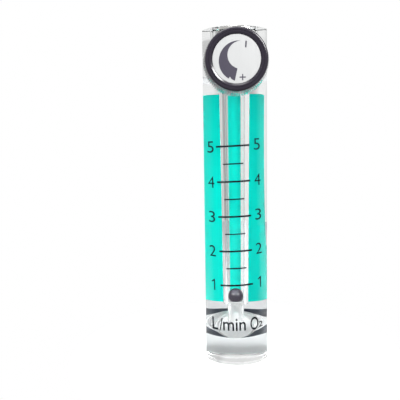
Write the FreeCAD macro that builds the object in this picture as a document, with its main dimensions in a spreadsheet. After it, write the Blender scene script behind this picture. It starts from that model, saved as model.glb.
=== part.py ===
import FreeCAD, Part
import math
import os
import Sketcher

# Oxygen flowmeter: a clear acrylic block with a tapered metering bore, a ball float,
# an inlet port low at the back, and a needle valve that runs through the block at the top.
#
# Frame: +Z up, the front is -Y, the metering bore's axis is X = 0, Y = 0, and Z = 0 is the
# flat bottom that the block stands on. Turned pieces are drawn in a frame of their own,
# where a station is the distance in front of the metering bore's axis.

SIZES = (
    # The acrylic block
    ("block_width", 25.0, "side to side"),
    ("block_height", 132.0, "bottom to top"),
    ("block_depth", 22.0, "front of the bulge to the back"),
    ("front_bulge", 7.7, "how far the rounded front stands out from its side edges"),
    ("edge_bevel", 0.4, "polished bevel round the top, the bottom and the back corners"),
    # The metering bore
    ("bore_setback", 14.5, "front of the bulge to the bore's axis"),
    ("seat_height", 23.5, "top of the ball's seat above the bottom"),
    ("seat_thickness", 1.0, "thickness of the seat ring"),
    ("seat_hole_diameter", 5.0, "hole that the ball rests on"),
    ("bore_seat_diameter", 6.8, "narrow end of the taper"),
    ("bore_top_diameter", 8.1, "wide end of the taper"),
    ("stub_diameter", 4.3, "drilling from the inlet up to the seat"),
    ("ball_diameter", 6.35, "float"),
    ("stop_ledge", 0.4, "ledge that carries the float stop"),
    ("stop_thickness", 1.2, "float stop"),
    ("stop_hole_diameter", 2.2, "gas holes in the float stop"),
    ("stop_gap", 0.1, "float stop to the valve cavity above it"),
    # The inlet
    ("inlet_height", 12.7, "axis of the inlet port"),
    ("port_diameter", 10.4, "inlet and outlet ports, over the thread"),
    ("inlet_thread_depth", 5.5, "threaded depth of the inlet"),
    ("inlet_core_diameter", 8.8, "drilled hole that goes on past the thread"),
    ("inlet_depth", 7.0, "depth of the drilled hole, without its point"),
    ("inlet_point", 2.4, "drill point at the inlet's inner end"),
    ("port_bevel", 0.7, "lead-in at both ports"),
    # The backing film
    ("film_bottom", 21.6, "lower edge above the bottom"),
    ("film_gap", 2.35, "upper edge to the valve's cavity"),
    ("film_margin", 6.85, "left bare at each side"),
    ("film_thickness", 0.15, "film"),
    # The printed scale
    ("scale_first_height", 32.8, "line 1 above the bottom"),
    ("scale_step", 13.64, "from one whole number to the next"),
    ("long_line_length", 13.3, "whole numbers, along the curve"),
    ("short_line_length", 7.9, "half numbers, along the curve"),
    ("long_line_height", 0.68, "stroke of the whole numbers"),
    ("short_line_height", 0.48, "stroke of the half numbers"),
    ("ink_thickness", 0.05, "ink on the acrylic"),
    ("print_skew", 1.3, "turn of the print on the block, in degrees"),
    # The screw plug over the bore
    ("plug_head_diameter", 12.0, "head"),
    ("plug_head_thickness", 1.6, "head"),
    ("plug_thread_diameter", 9.6, "thread"),
    ("plug_thread_length", 3.0, "thread in the block"),
    ("plug_socket_flats", 4.0, "hexagon socket"),
    ("plug_socket_depth", 2.4, "hexagon socket"),
    ("plug_ring_section", 1.1, "sealing ring under the head"),
    # The valve body, which runs through the block from front to back
    ("plug_wall", 1.2, "acrylic between the plug's hole and the valve's cavity"),
    ("barrel_diameter", 14.6, "barrel"),
    ("fit_gap", 0.05, "play round a piece that slides or screws into its hole"),
    ("spot_gap", 0.26, "recess round the hexagon's corners"),
    ("spot_depth", 4.3, "recess, from the front of the bulge"),
    ("hexagon_flats", 16.0, "hexagon across its flats"),
    ("hexagon_thickness", 3.2, "hexagon"),
    ("collar_diameter", 8.4, "collar in front of the hexagon"),
    ("collar_length", 1.6, "collar in front of the hexagon"),
    ("rear_recess", 0.3, "rear end of the barrel below the block's back"),
    ("body_ring_section", 1.4, "two sealing rings round the barrel"),
    ("ring_room", 0.3, "groove width beyond the ring's section"),
    ("ring_land", 0.35, "bore wall to the nearest groove"),
    ("waist_diameter", 10.4, "gas groove round the barrel"),
    ("outlet_depth", 6.0, "threaded depth of the outlet"),
    ("orifice_diameter", 2.4, "orifice that the needle closes"),
    ("orifice_length", 1.6, "orifice"),
    ("chamber_diameter", 6.4, "chamber round the needle"),
    ("chamber_length", 4.0, "chamber round the needle"),
    ("cross_hole_diameter", 2.4, "four holes from the gas groove to the chamber"),
    # The stem
    ("thread_diameter", 5.0, "fine thread that moves the stem"),
    ("thread_length", 3.5, "length of the internal thread"),
    ("journal_diameter", 5.9, "smooth part in the gland"),
    ("slip_gap", 0.03, "running clearance between turning pieces"),
    ("stem_travel", 2.0, "closed to fully open"),
    ("needle_diameter", 3.2, "shank behind the thread"),
    ("needle_tip_diameter", 0.6, "tip"),
    ("needle_length", 2.6, "cone"),
    ("stem_ring_section", 1.1, "sealing ring on the stem"),
    ("clip_diameter", 5.6, "retaining clip"),
    ("clip_thickness", 0.4, "retaining clip"),
    ("clip_stop_gap", 0.1, "clip to the end of its chamber with the valve open"),
    ("shaft_diameter", 4.94, "front end that carries the knob"),
    ("shaft_flat_depth", 0.5, "flat under the set screw"),
    # The knob
    ("knob_gap", 1.5, "block to knob with the valve closed"),
    ("knob_depth", 12.5, "rear edge to front rim"),
    ("rim_diameter", 22.2, "black front rim"),
    ("rim_depth", 3.0, "black front rim in front of the skirt"),
    ("rim_round", 0.9, "rounding of the front rim"),
    ("skirt_rear_diameter", 24.2, "knurled skirt at the block"),
    ("skirt_front_diameter", 23.2, "knurled skirt at the rim"),
    ("skirt_wall", 1.2, "knurled skirt at its front edge"),
    ("knurl_depth", 0.35, "grooves of the knurl"),
    ("knurl_bevel", 0.5, "bevel at both ends of the knurl"),
    ("shell_wall", 1.2, "wall of the moulded knob"),
    ("hub_diameter", 11.0, "hub inside the moulded knob"),
    ("rib_thickness", 1.0, "ribs between the hub and the wall"),
    ("web_thickness", 2.2, "front wall of the moulded knob behind the disc"),
    ("bush_diameter", 9.0, "metal bush in the hub"),
    ("bush_length", 8.6, "metal bush in the hub"),
    ("disc_diameter", 17.0, "silver disc in the front"),
    ("disc_thickness", 0.5, "silver disc in the front"),
    ("disc_recess", 0.35, "disc below the front rim"),
    ("screw_diameter", 3.0, "set screw"),
    ("screw_length", 3.2, "set screw"),
    ("screw_station", 4.6, "set screw in front of the knob's rear edge"),
    ("screw_socket_flats", 1.5, "hexagon socket of the set screw"),
)

SCALE_STEPS = 8          # half steps between the first and the last line
KNURL_COUNT = 72
RIB_COUNT = 6
STOP_HOLE_COUNT = 4
FULL_TURN = 360

doc = FreeCAD.newDocument("oxygen_flowmeter")
sheet = doc.addObject("Spreadsheet::Sheet", "sizes")
for row, (alias, value, note) in enumerate(SIZES, start=1):
    sheet.set("A%d" % row, alias)
    sheet.set("B%d" % row, str(value))
    sheet.set("C%d" % row, note)
    sheet.setAlias("B%d" % row, alias)
doc.recompute()

# Lengths that several pieces share, as expressions of the sheet's cells.
FRONT_RADIUS = "((sizes.block_width / 2) ^ 2 + sizes.front_bulge ^ 2) / (2 * sizes.front_bulge)"
BACK = "(sizes.block_depth - sizes.bore_setback)"
CAVITY_RADIUS = "(sizes.barrel_diameter / 2 + sizes.fit_gap)"
UPPER_RADIUS = "(sizes.bore_top_diameter / 2 + sizes.stop_ledge)"
SEAT_FLOOR = "(sizes.seat_height - sizes.seat_thickness)"
PLUG_FLOOR = "(sizes.block_height - sizes.plug_head_thickness - sizes.plug_ring_section)"
PLUG_HOLE_END = "(" + PLUG_FLOOR + " - sizes.plug_thread_length - sizes.fit_gap)"
VALVE_HEIGHT = "(" + PLUG_HOLE_END + " - sizes.plug_wall - " + CAVITY_RADIUS + ")"
CAVITY_BOTTOM = "(" + VALVE_HEIGHT + " - " + CAVITY_RADIUS + ")"
STOP_HEIGHT = "(" + CAVITY_BOTTOM + " - sizes.stop_gap - sizes.stop_thickness)"

# Stations along the valve, in front of the metering bore's axis.
SPOT = "(sizes.bore_setback - sizes.spot_depth)"
SPOT_RADIUS = "(sizes.hexagon_flats / sqrt(3) + sizes.spot_gap)"
BARREL_END = "(sizes.rear_recess - " + BACK + ")"
RING_WIDTH = "(sizes.body_ring_section + sizes.ring_room)"
RING_FLOOR = "(" + CAVITY_RADIUS + " - sizes.body_ring_section)"
RING_START = "(" + UPPER_RADIUS + " + sizes.ring_land)"
OUTLET_END = "(" + BARREL_END + " + sizes.outlet_depth)"
CHAMBER_REAR = "(" + OUTLET_END + " + sizes.orifice_length)"
CHAMBER_FRONT = "(" + CHAMBER_REAR + " + sizes.chamber_length)"
THREAD_FRONT = "(" + CHAMBER_FRONT + " + sizes.thread_length)"
HEXAGON_FRONT = "(" + SPOT + " + sizes.hexagon_thickness)"
COLLAR_FRONT = "(" + HEXAGON_FRONT + " + sizes.collar_length)"
GLAND_RADIUS = "(sizes.journal_diameter / 2 + sizes.slip_gap)"
STEM_RING_RADIUS = "(" + GLAND_RADIUS + " - sizes.stem_ring_section / 2)"
STEM_RING_STATION = "(" + THREAD_FRONT + " + 2 * sizes.stem_ring_section)"
CLIP_FRONT = "(" + CHAMBER_FRONT + " - sizes.stem_travel - sizes.clip_stop_gap)"
CLIP_GROOVE_RADIUS = "(sizes.needle_diameter / 2 - sizes.clip_thickness)"

# Stations of the knob, with the valve closed.
KNOB_REAR = "(sizes.bore_setback + sizes.knob_gap)"
KNOB_FRONT = "(" + KNOB_REAR + " + sizes.knob_depth)"
SKIRT_FRONT = "(" + KNOB_FRONT + " - sizes.rim_depth)"
SHELL_RADIUS = "(sizes.skirt_front_diameter / 2 - sizes.skirt_wall)"
DISC_FLOOR = "(" + KNOB_FRONT + " - sizes.disc_recess - sizes.disc_thickness)"
WEB_REAR = "(" + DISC_FLOOR + " - sizes.web_thickness)"
BUSH_FRONT = "(" + KNOB_REAR + " + sizes.bush_length)"
SCREW_STATION = "(" + KNOB_REAR + " + sizes.screw_station)"
SCREW_FOOT = "(sizes.shaft_diameter / 2 - sizes.shaft_flat_depth + sizes.fit_gap)"


def length(expression):
    """The present value of an expression, in millimetres."""
    return float(sheet.evalExpression(expression))


def origin_plane(body, role):
    """One of the body's own three origin planes."""
    return [plane for plane in body.Origin.OriginFeatures if plane.Role == role][0]


def new_body(label, front_to_back=False):
    """A body for one piece; front_to_back lays its own Z along the valve, pointing forward."""
    body = doc.addObject("PartDesign::Body", label)
    body.Label = label
    if front_to_back:
        turn = FreeCAD.Rotation(FreeCAD.Vector(1, 0, 0), 90)
        body.Placement = FreeCAD.Placement(FreeCAD.Vector(0, 0, 0), turn)
        body.setExpression("Placement.Base.z", VALVE_HEIGHT)
    return body


def pin_point(sketch, geometry, point, place, corner):
    """Hold one point of a sketch at two expressions, measured from the sketch's origin."""
    for kind, expression, value in zip(("DistanceX", "DistanceY"), corner, place):
        rule = Sketcher.Constraint(kind, -1, 1, geometry, point, value)
        index = sketch.addConstraint(rule)
        sketch.setExpression("Constraints[%d]" % index, expression)


def outline(body, name, role, corners):
    """A closed outline of straight runs; each corner is a pair of expressions."""
    sketch = body.newObject("Sketcher::SketchObject", name)
    sketch.AttachmentSupport = [(origin_plane(body, role), "")]
    sketch.MapMode = "FlatFace"
    places = [(length(across), length(along)) for across, along in corners]
    count = len(corners)
    for index in range(count):
        start = FreeCAD.Vector(*places[index], 0)
        end = FreeCAD.Vector(*places[(index + 1) % count], 0)
        sketch.addGeometry(Part.LineSegment(start, end), False)
    for index in range(count):
        sketch.addConstraint(Sketcher.Constraint("Coincident", index, 2, (index + 1) % count, 1))
    for index in range(count):
        pin_point(sketch, index, 1, places[index], corners[index])
    return sketch


def turn_outline(body, kind, name, sketch, axis="V_Axis"):
    """Add or cut the solid that the outline sweeps about an axis of its sketch."""
    feature = body.newObject(kind, name)
    feature.Profile = sketch
    feature.ReferenceAxis = (sketch, [axis])
    feature.Angle = FULL_TURN
    sketch.Visibility = False
    return feature


def turned(label, corners, front_to_back=False):
    """A piece turned about its own Z from corners of radius and station."""
    body = new_body(label, front_to_back)
    sketch = outline(body, label + "_outline", "XZ_Plane", corners)
    turn_outline(body, "PartDesign::Revolution", label + "_turning", sketch)
    return body


def turned_cut(body, name, corners):
    """Cut a turned space about the piece's own Z from corners of radius and station."""
    sketch = outline(body, name + "_outline", "XZ_Plane", corners)
    return turn_outline(body, "PartDesign::Groove", name, sketch)


def cross_cut(body, name, height, corners):
    """Cut a turned space about an axis along Y at a height; corners are station and radius."""
    places = [("-(" + station + ")", height + " + " + radius) for station, radius in corners]
    sketch = outline(body, name + "_outline", "YZ_Plane", places)
    ends = ((places[0][0], height), (places[-1][0], height))
    starts = [FreeCAD.Vector(length(across), length(along), 0) for across, along in ends]
    axis = sketch.addGeometry(Part.LineSegment(*starts), True)
    for point, (start, end) in enumerate(zip(starts, ends), start=1):
        pin_point(sketch, axis, point, (start.x, start.y), end)
    return turn_outline(body, "PartDesign::Groove", name, sketch, "Axis0")


def hexagon(flats):
    """Corners of a hexagon across the given flats."""
    half = "(" + flats + ") / 2"
    point = "(" + flats + ") / sqrt(3)"
    return ((half, point + " / 2"), ("0", point), ("-" + half, point + " / 2"),
            ("-" + half, "-" + point + " / 2"), ("0", "-" + point), (half, "-" + point + " / 2"))


def sunk_hexagon(body, name, flats, top, depth):
    """Cut a hexagon socket downwards from a station of the piece."""
    sketch = outline(body, name + "_outline", "XY_Plane", hexagon(flats))
    sketch.setExpression("AttachmentOffset.Base.z", top)
    pocket = body.newObject("PartDesign::Pocket", name)
    pocket.Profile = sketch
    pocket.setExpression("Length", depth)
    sketch.Visibility = False
    return pocket


def cut_drilling(body, name, radius, reach, station, turn):
    """Cut a straight drilling that starts at a station of the piece and leaves it sideways."""
    drill = body.newObject("PartDesign::SubtractiveCylinder", name)
    drill.Placement = FreeCAD.Placement(FreeCAD.Vector(0, 0, 0), turn)
    drill.setExpression("Radius", radius)
    drill.setExpression("Height", reach)
    drill.setExpression("Placement.Base.z", station)
    return drill


def make_ring(label, radius, section, station, front_to_back=False):
    """A sealing ring about Z, or about the valve's axis."""
    ring = doc.addObject("Part::Torus", label)
    ring.Label = label
    ring.setExpression("Radius1", radius)
    ring.setExpression("Radius2", section + " / 2 - sizes.slip_gap")
    if front_to_back:
        ring.Placement.Rotation = FreeCAD.Rotation(FreeCAD.Vector(1, 0, 0), 90)
        ring.setExpression("Placement.Base.y", "-(" + station + ")")
        ring.setExpression("Placement.Base.z", VALVE_HEIGHT)
    else:
        ring.setExpression("Placement.Base.z", station)
    return ring


def make_block():
    """The clear block: a bar with a flat back and a rounded front, with its three bores."""
    body = new_body("acrylic_body")
    sketch = body.newObject("Sketcher::SketchObject", "block_section")
    sketch.AttachmentSupport = [(origin_plane(body, "XY_Plane"), "")]
    sketch.MapMode = "FlatFace"
    half = length("sizes.block_width / 2")
    back = length(BACK)
    radius = length(FRONT_RADIUS)
    shoulder = length("sizes.front_bulge - sizes.bore_setback")
    centre = length(FRONT_RADIUS + " - sizes.bore_setback")
    corners = [(half, shoulder), (half, back), (-half, back), (-half, shoulder)]
    for start, end in zip(corners, corners[1:]):
        sketch.addGeometry(Part.LineSegment(FreeCAD.Vector(*start, 0), FreeCAD.Vector(*end, 0)))
    swing = math.asin(half / radius)
    circle = Part.Circle(FreeCAD.Vector(0, centre, 0), FreeCAD.Vector(0, 0, 1), radius)
    sketch.addGeometry(Part.ArcOfCircle(circle, -math.pi / 2 - swing, -math.pi / 2 + swing))
    for first, second in ((0, 1), (1, 2), (2, 3), (3, 0)):
        sketch.addConstraint(Sketcher.Constraint("Coincident", first, 2, second, 1))
    bounds = (("sizes.block_width / 2", "sizes.front_bulge - sizes.bore_setback"),
              ("sizes.block_width / 2", BACK),
              ("-sizes.block_width / 2", BACK))
    for index, corner in enumerate(bounds):
        pin_point(sketch, index, 1, corners[index], corner)
    pin_point(sketch, 2, 2, corners[3], ("-sizes.block_width / 2",
                                         "sizes.front_bulge - sizes.bore_setback"))
    rule = sketch.addConstraint(Sketcher.Constraint("Radius", 3, radius))
    sketch.setExpression("Constraints[%d]" % rule, FRONT_RADIUS)

    bar = body.newObject("PartDesign::Pad", "block_bar")
    bar.Profile = sketch
    bar.setExpression("Length", "sizes.block_height")
    sketch.Visibility = False
    doc.recompute()

    rims = []
    for index, edge in enumerate(bar.Shape.Edges, start=1):
        box = edge.BoundBox
        flat = box.ZLength < 0.01
        at_back = box.YMin > back - 0.01
        if flat or at_back:
            rims.append("Edge%d" % index)
    bevel = body.newObject("PartDesign::Chamfer", "block_bevel")
    bevel.Base = (bar, rims)
    bevel.setExpression("Size", "sizes.edge_bevel")

    turned_cut(body, "metering_bore", (
        ("0", "sizes.inlet_height"),
        ("sizes.stub_diameter / 2", "sizes.inlet_height"),
        ("sizes.stub_diameter / 2", SEAT_FLOOR),
        ("sizes.bore_seat_diameter / 2", SEAT_FLOOR),
        ("sizes.bore_seat_diameter / 2", "sizes.seat_height"),
        ("sizes.bore_top_diameter / 2", STOP_HEIGHT),
        (UPPER_RADIUS, STOP_HEIGHT),
        (UPPER_RADIUS, PLUG_HOLE_END),
        ("sizes.plug_thread_diameter / 2", PLUG_HOLE_END),
        ("sizes.plug_thread_diameter / 2", PLUG_FLOOR),
        ("sizes.plug_head_diameter / 2 + sizes.fit_gap", PLUG_FLOOR),
        ("sizes.plug_head_diameter / 2 + sizes.fit_gap", "sizes.block_height + 1"),
        ("0", "sizes.block_height + 1")))
    cross_cut(body, "inlet_port", "sizes.inlet_height", (
        ("-" + BACK + " - 1", "0"),
        ("-" + BACK + " - 1", "sizes.port_diameter / 2 + sizes.port_bevel"),
        ("-" + BACK, "sizes.port_diameter / 2 + sizes.port_bevel"),
        ("sizes.port_bevel - " + BACK, "sizes.port_diameter / 2"),
        ("sizes.inlet_thread_depth - " + BACK, "sizes.port_diameter / 2"),
        ("sizes.inlet_thread_depth - " + BACK, "sizes.inlet_core_diameter / 2"),
        ("sizes.inlet_depth - " + BACK, "sizes.inlet_core_diameter / 2"),
        ("sizes.inlet_depth + sizes.inlet_point - " + BACK, "0")))
    cross_cut(body, "valve_cavity", VALVE_HEIGHT, (
        ("-" + BACK + " - 1", "0"),
        ("-" + BACK + " - 1", CAVITY_RADIUS),
        (SPOT, CAVITY_RADIUS),
        (SPOT, SPOT_RADIUS),
        ("sizes.bore_setback + 1", SPOT_RADIUS),
        ("sizes.bore_setback + 1", "0")))
    return body


def make_film():
    """The coloured film on the block's back, behind the metering bore."""
    film = doc.addObject("Part::Box", "backing_film")
    film.Label = "backing_film"
    film.setExpression("Length", "sizes.block_width - 2 * sizes.film_margin")
    film.setExpression("Width", "sizes.film_thickness")
    film.setExpression("Height", CAVITY_BOTTOM + " - sizes.film_gap - sizes.film_bottom")
    film.setExpression("Placement.Base.x", "sizes.film_margin - sizes.block_width / 2")
    film.setExpression("Placement.Base.y", BACK)
    film.setExpression("Placement.Base.z", "sizes.film_bottom")
    return film


def make_scale_lines():
    """The printed lines of the scale, each one a thin band that follows the rounded front."""
    inner = length(FRONT_RADIUS)
    outer = inner + sheet.ink_thickness
    axis_y = length(FRONT_RADIUS + " - sizes.bore_setback")
    skew = math.radians(sheet.print_skew)
    first = sheet.scale_first_height
    bands = []
    for step in range(SCALE_STEPS + 1):
        whole = step % 2 == 0
        span = sheet.long_line_length if whole else sheet.short_line_length
        stroke = sheet.long_line_height if whole else sheet.short_line_height
        rise = step * sheet.scale_step / 2
        half_angle = math.degrees(span / inner / 2)
        middle = -90 - math.degrees(math.sin(skew) * rise / inner)
        bottom = FreeCAD.Vector(0, axis_y, first + math.cos(skew) * rise - stroke / 2)
        up = FreeCAD.Vector(0, 0, 1)
        sector = 2 * half_angle
        turn = FreeCAD.Rotation(up, middle - half_angle)
        band = Part.makeCylinder(outer, stroke, FreeCAD.Vector(0, 0, 0), up, sector)
        band = band.cut(Part.makeCylinder(inner, stroke, FreeCAD.Vector(0, 0, 0), up))
        band.Placement = FreeCAD.Placement(bottom, turn)
        centre = FreeCAD.Vector(inner * math.cos(math.radians(middle)), axis_y,
                                first + math.cos(skew) * rise)
        band.rotate(centre, FreeCAD.Vector(0, 1, 0), -sheet.print_skew)
        bands.append(band)
    lines = doc.addObject("Part::Feature", "scale_lines")
    lines.Label = "scale_lines"
    lines.Shape = Part.makeCompound(bands)
    lines.Placement = FreeCAD.Placement()
    return lines


def make_ball_seat():
    """The white ring at the foot of the bore, with a countersunk hole for the ball."""
    contact = "(sizes.seat_hole_diameter / 2)"
    return turned("ball_seat", (
        (contact, SEAT_FLOOR),
        ("sizes.bore_seat_diameter / 2", SEAT_FLOOR),
        ("sizes.bore_seat_diameter / 2", "sizes.seat_height"),
        (contact, "sizes.seat_height")))


def make_float_ball():
    """The float, at rest on the edge of the seat's hole."""
    ball = doc.addObject("Part::Sphere", "float_ball")
    ball.Label = "float_ball"
    ball.setExpression("Radius", "sizes.ball_diameter / 2")
    rise = "sqrt((sizes.ball_diameter / 2) ^ 2 - (sizes.seat_hole_diameter / 2) ^ 2)"
    ball.setExpression("Placement.Base.z", "sizes.seat_height + sizes.slip_gap + " + rise)
    return ball


def make_float_stop():
    """The perforated disc that keeps the ball out of the valve."""
    body = turned("float_stop", (
        ("0", STOP_HEIGHT),
        (UPPER_RADIUS + " - sizes.fit_gap", STOP_HEIGHT),
        (UPPER_RADIUS + " - sizes.fit_gap", STOP_HEIGHT + " + sizes.stop_thickness"),
        ("0", STOP_HEIGHT + " + sizes.stop_thickness")))
    hole = body.newObject("PartDesign::SubtractiveCylinder", "gas_hole")
    hole.setExpression("Radius", "sizes.stop_hole_diameter / 2")
    hole.setExpression("Height", "sizes.stop_thickness + 2")
    hole.setExpression("Placement.Base.x", "sizes.bore_top_diameter / 4 + sizes.stop_ledge")
    hole.setExpression("Placement.Base.z", STOP_HEIGHT + " - 1")
    holes = body.newObject("PartDesign::PolarPattern", "gas_holes")
    holes.Originals = [hole]
    holes.Axis = ([axis for axis in body.Origin.OriginFeatures if axis.Role == "Z_Axis"][0], [""])
    holes.Angle = FULL_TURN
    holes.Occurrences = STOP_HOLE_COUNT
    body.Tip = holes
    return body


def make_bore_plug():
    """The screw plug that closes the bore at the top, with a hexagon socket."""
    top = "sizes.block_height - sizes.fit_gap"
    head = "(sizes.block_height - sizes.plug_head_thickness)"
    body = turned("bore_plug", (
        ("0", PLUG_FLOOR + " - sizes.plug_thread_length"),
        ("sizes.plug_thread_diameter / 2 - 2 * sizes.edge_bevel",
         PLUG_FLOOR + " - sizes.plug_thread_length"),
        ("sizes.plug_thread_diameter / 2 - sizes.slip_gap",
         PLUG_FLOOR + " - sizes.plug_thread_length + 2 * sizes.edge_bevel"),
        ("sizes.plug_thread_diameter / 2 - sizes.slip_gap", head),
        ("sizes.plug_head_diameter / 2", head),
        ("sizes.plug_head_diameter / 2", top + " - sizes.edge_bevel"),
        ("sizes.plug_head_diameter / 2 - sizes.edge_bevel", top),
        ("0", top)))
    sunk_hexagon(body, "plug_socket", "sizes.plug_socket_flats", top, "sizes.plug_socket_depth")
    return body


def make_valve_body():
    """The turned barrel that carries the needle valve and the outlet's thread."""
    barrel = "sizes.barrel_diameter / 2"
    rear_ring = "(-" + RING_START + ")"
    waist_rear = "(" + OUTLET_END + " + sizes.orifice_length / 2)"
    waist_front = "(" + CHAMBER_FRONT + " - sizes.ring_room)"
    body = turned("valve_body", (
        ("sizes.port_diameter / 2 + sizes.port_bevel", BARREL_END),
        (barrel + " - sizes.edge_bevel", BARREL_END),
        (barrel, BARREL_END + " + sizes.edge_bevel"),
        (barrel, rear_ring + " - " + RING_WIDTH),
        (RING_FLOOR, rear_ring + " - " + RING_WIDTH),
        (RING_FLOOR, rear_ring),
        (barrel, rear_ring),
        (barrel, waist_rear),
        ("sizes.waist_diameter / 2", waist_rear),
        ("sizes.waist_diameter / 2", waist_front),
        (barrel, waist_front),
        (barrel, RING_START),
        (RING_FLOOR, RING_START),
        (RING_FLOOR, RING_START + " + " + RING_WIDTH),
        (barrel, RING_START + " + " + RING_WIDTH),
        (barrel, SPOT),
        ("sizes.hexagon_flats / 2", SPOT),
        ("sizes.hexagon_flats / 2", HEXAGON_FRONT),
        ("sizes.collar_diameter / 2", HEXAGON_FRONT),
        ("sizes.collar_diameter / 2", COLLAR_FRONT),
        (GLAND_RADIUS, COLLAR_FRONT),
        (GLAND_RADIUS, THREAD_FRONT),
        ("sizes.thread_diameter / 2 + sizes.slip_gap", THREAD_FRONT),
        ("sizes.thread_diameter / 2 + sizes.slip_gap", CHAMBER_FRONT),
        ("sizes.chamber_diameter / 2", CHAMBER_FRONT),
        ("sizes.chamber_diameter / 2", CHAMBER_REAR),
        ("sizes.orifice_diameter / 2", CHAMBER_REAR),
        ("sizes.orifice_diameter / 2", OUTLET_END),
        ("sizes.port_diameter / 2", OUTLET_END),
        ("sizes.port_diameter / 2", BARREL_END + " + sizes.port_bevel")), front_to_back=True)

    flats = outline(body, "hexagon_outline", "XY_Plane", hexagon("sizes.hexagon_flats"))
    flats.setExpression("AttachmentOffset.Base.z", SPOT)
    circle = Part.Circle(FreeCAD.Vector(0, 0, 0), FreeCAD.Vector(0, 0, 1),
                         length("sizes.collar_diameter / 2"))
    hole = flats.addGeometry(circle, False)
    flats.addConstraint(Sketcher.Constraint("Coincident", hole, 3, -1, 1))
    rule = flats.addConstraint(Sketcher.Constraint("Radius", hole, circle.Radius))
    flats.setExpression("Constraints[%d]" % rule, "sizes.collar_diameter / 2")
    head = body.newObject("PartDesign::Pad", "hexagon_head")
    head.Profile = flats
    head.setExpression("Length", "sizes.hexagon_thickness")
    flats.Visibility = False

    corner = "(sizes.hexagon_flats / sqrt(3))"
    slope = "(" + corner + " - sizes.hexagon_flats / 2)"
    turned_cut(body, "hexagon_bevel", (
        ("sizes.hexagon_flats / 2", HEXAGON_FRONT + " + sizes.fit_gap"),
        (corner + " + sizes.fit_gap", HEXAGON_FRONT + " - " + slope + " * tan(30 deg)"),
        (corner + " + sizes.fit_gap", HEXAGON_FRONT + " + sizes.fit_gap")))

    middle = "(" + CHAMBER_REAR + " + sizes.chamber_length / 2)"
    for number, angle in enumerate((0, 90, 180, 270)):
        turn = FreeCAD.Rotation(FreeCAD.Vector(0, 0, 1), angle)
        turn = turn.multiply(FreeCAD.Rotation(FreeCAD.Vector(0, 1, 0), 90))
        cut_drilling(body, "cross_hole_%d" % number, "sizes.cross_hole_diameter / 2",
                     "sizes.barrel_diameter / 2 + 1", middle, turn)
    return body


def make_stem():
    """The stem: a needle, a fine thread, a smooth journal and the shaft for the knob."""
    slope = "(sizes.needle_diameter - sizes.needle_tip_diameter) / 2 / sizes.needle_length"
    reach = "(sizes.needle_diameter / 2 - sizes.orifice_diameter / 2 + sizes.slip_gap)"
    cone_front = "(" + CHAMBER_REAR + " + " + reach + " / (" + slope + "))"
    needle = "sizes.needle_diameter / 2"
    journal = "sizes.journal_diameter / 2"
    groove_floor = STEM_RING_RADIUS + " - sizes.stem_ring_section / 2"
    ring_half = "(sizes.stem_ring_section / 2 + sizes.ring_room / 2)"
    shaft_rear = "(" + COLLAR_FRONT + " + sizes.fit_gap * 4)"
    shaft_end = "(" + BUSH_FRONT + " - sizes.edge_bevel)"
    body = turned("valve_stem", (
        ("0", cone_front + " - sizes.needle_length"),
        ("sizes.needle_tip_diameter / 2", cone_front + " - sizes.needle_length"),
        (needle, cone_front),
        (needle, CLIP_FRONT + " - sizes.clip_thickness - sizes.slip_gap"),
        (CLIP_GROOVE_RADIUS, CLIP_FRONT + " - sizes.clip_thickness - sizes.slip_gap"),
        (CLIP_GROOVE_RADIUS, CLIP_FRONT + " + sizes.slip_gap"),
        (needle, CLIP_FRONT + " + sizes.slip_gap"),
        (needle, CHAMBER_FRONT),
        ("sizes.thread_diameter / 2", CHAMBER_FRONT + " + sizes.fit_gap * 4"),
        ("sizes.thread_diameter / 2", THREAD_FRONT + " + sizes.ring_room"),
        (journal, THREAD_FRONT + " + sizes.ring_room"),
        (journal, STEM_RING_STATION + " - " + ring_half),
        (groove_floor, STEM_RING_STATION + " - " + ring_half),
        (groove_floor, STEM_RING_STATION + " + " + ring_half),
        (journal, STEM_RING_STATION + " + " + ring_half),
        (journal, shaft_rear),
        ("sizes.shaft_diameter / 2", shaft_rear),
        ("sizes.shaft_diameter / 2", shaft_end + " - sizes.edge_bevel"),
        ("sizes.shaft_diameter / 2 - sizes.edge_bevel", shaft_end),
        ("0", shaft_end)), front_to_back=True)
    flat = body.newObject("PartDesign::SubtractiveBox", "shaft_flat")
    flat.setExpression("Length", "sizes.shaft_diameter + 2")
    flat.setExpression("Width", "sizes.shaft_diameter")
    flat.setExpression("Height", "sizes.bush_length")
    flat.setExpression("Placement.Base.x", "-sizes.shaft_diameter / 2 - 1")
    flat.setExpression("Placement.Base.y", "sizes.shaft_diameter / 2 - sizes.shaft_flat_depth")
    flat.setExpression("Placement.Base.z", KNOB_REAR + " + sizes.screw_station / 2")
    return body


def make_stem_clip():
    """The open retaining clip, which stops the stem from being screwed right out."""
    inner = CLIP_GROOVE_RADIUS + " + sizes.slip_gap"
    body = turned("stem_clip", (
        (inner, CLIP_FRONT + " - sizes.clip_thickness"),
        ("sizes.clip_diameter / 2", CLIP_FRONT + " - sizes.clip_thickness"),
        ("sizes.clip_diameter / 2", CLIP_FRONT),
        (inner, CLIP_FRONT)), front_to_back=True)
    mouth = body.newObject("PartDesign::SubtractiveBox", "clip_mouth")
    mouth.setExpression("Length", "2 * (" + CLIP_GROOVE_RADIUS + ") - sizes.clip_thickness")
    mouth.setExpression("Width", "sizes.clip_diameter")
    mouth.setExpression("Height", "sizes.clip_thickness + 2")
    mouth.setExpression("Placement.Base.x", "sizes.clip_thickness / 2 - (" + CLIP_GROOVE_RADIUS + ")")
    mouth.setExpression("Placement.Base.z", CLIP_FRONT + " - sizes.clip_thickness - 1")
    return body


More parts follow.
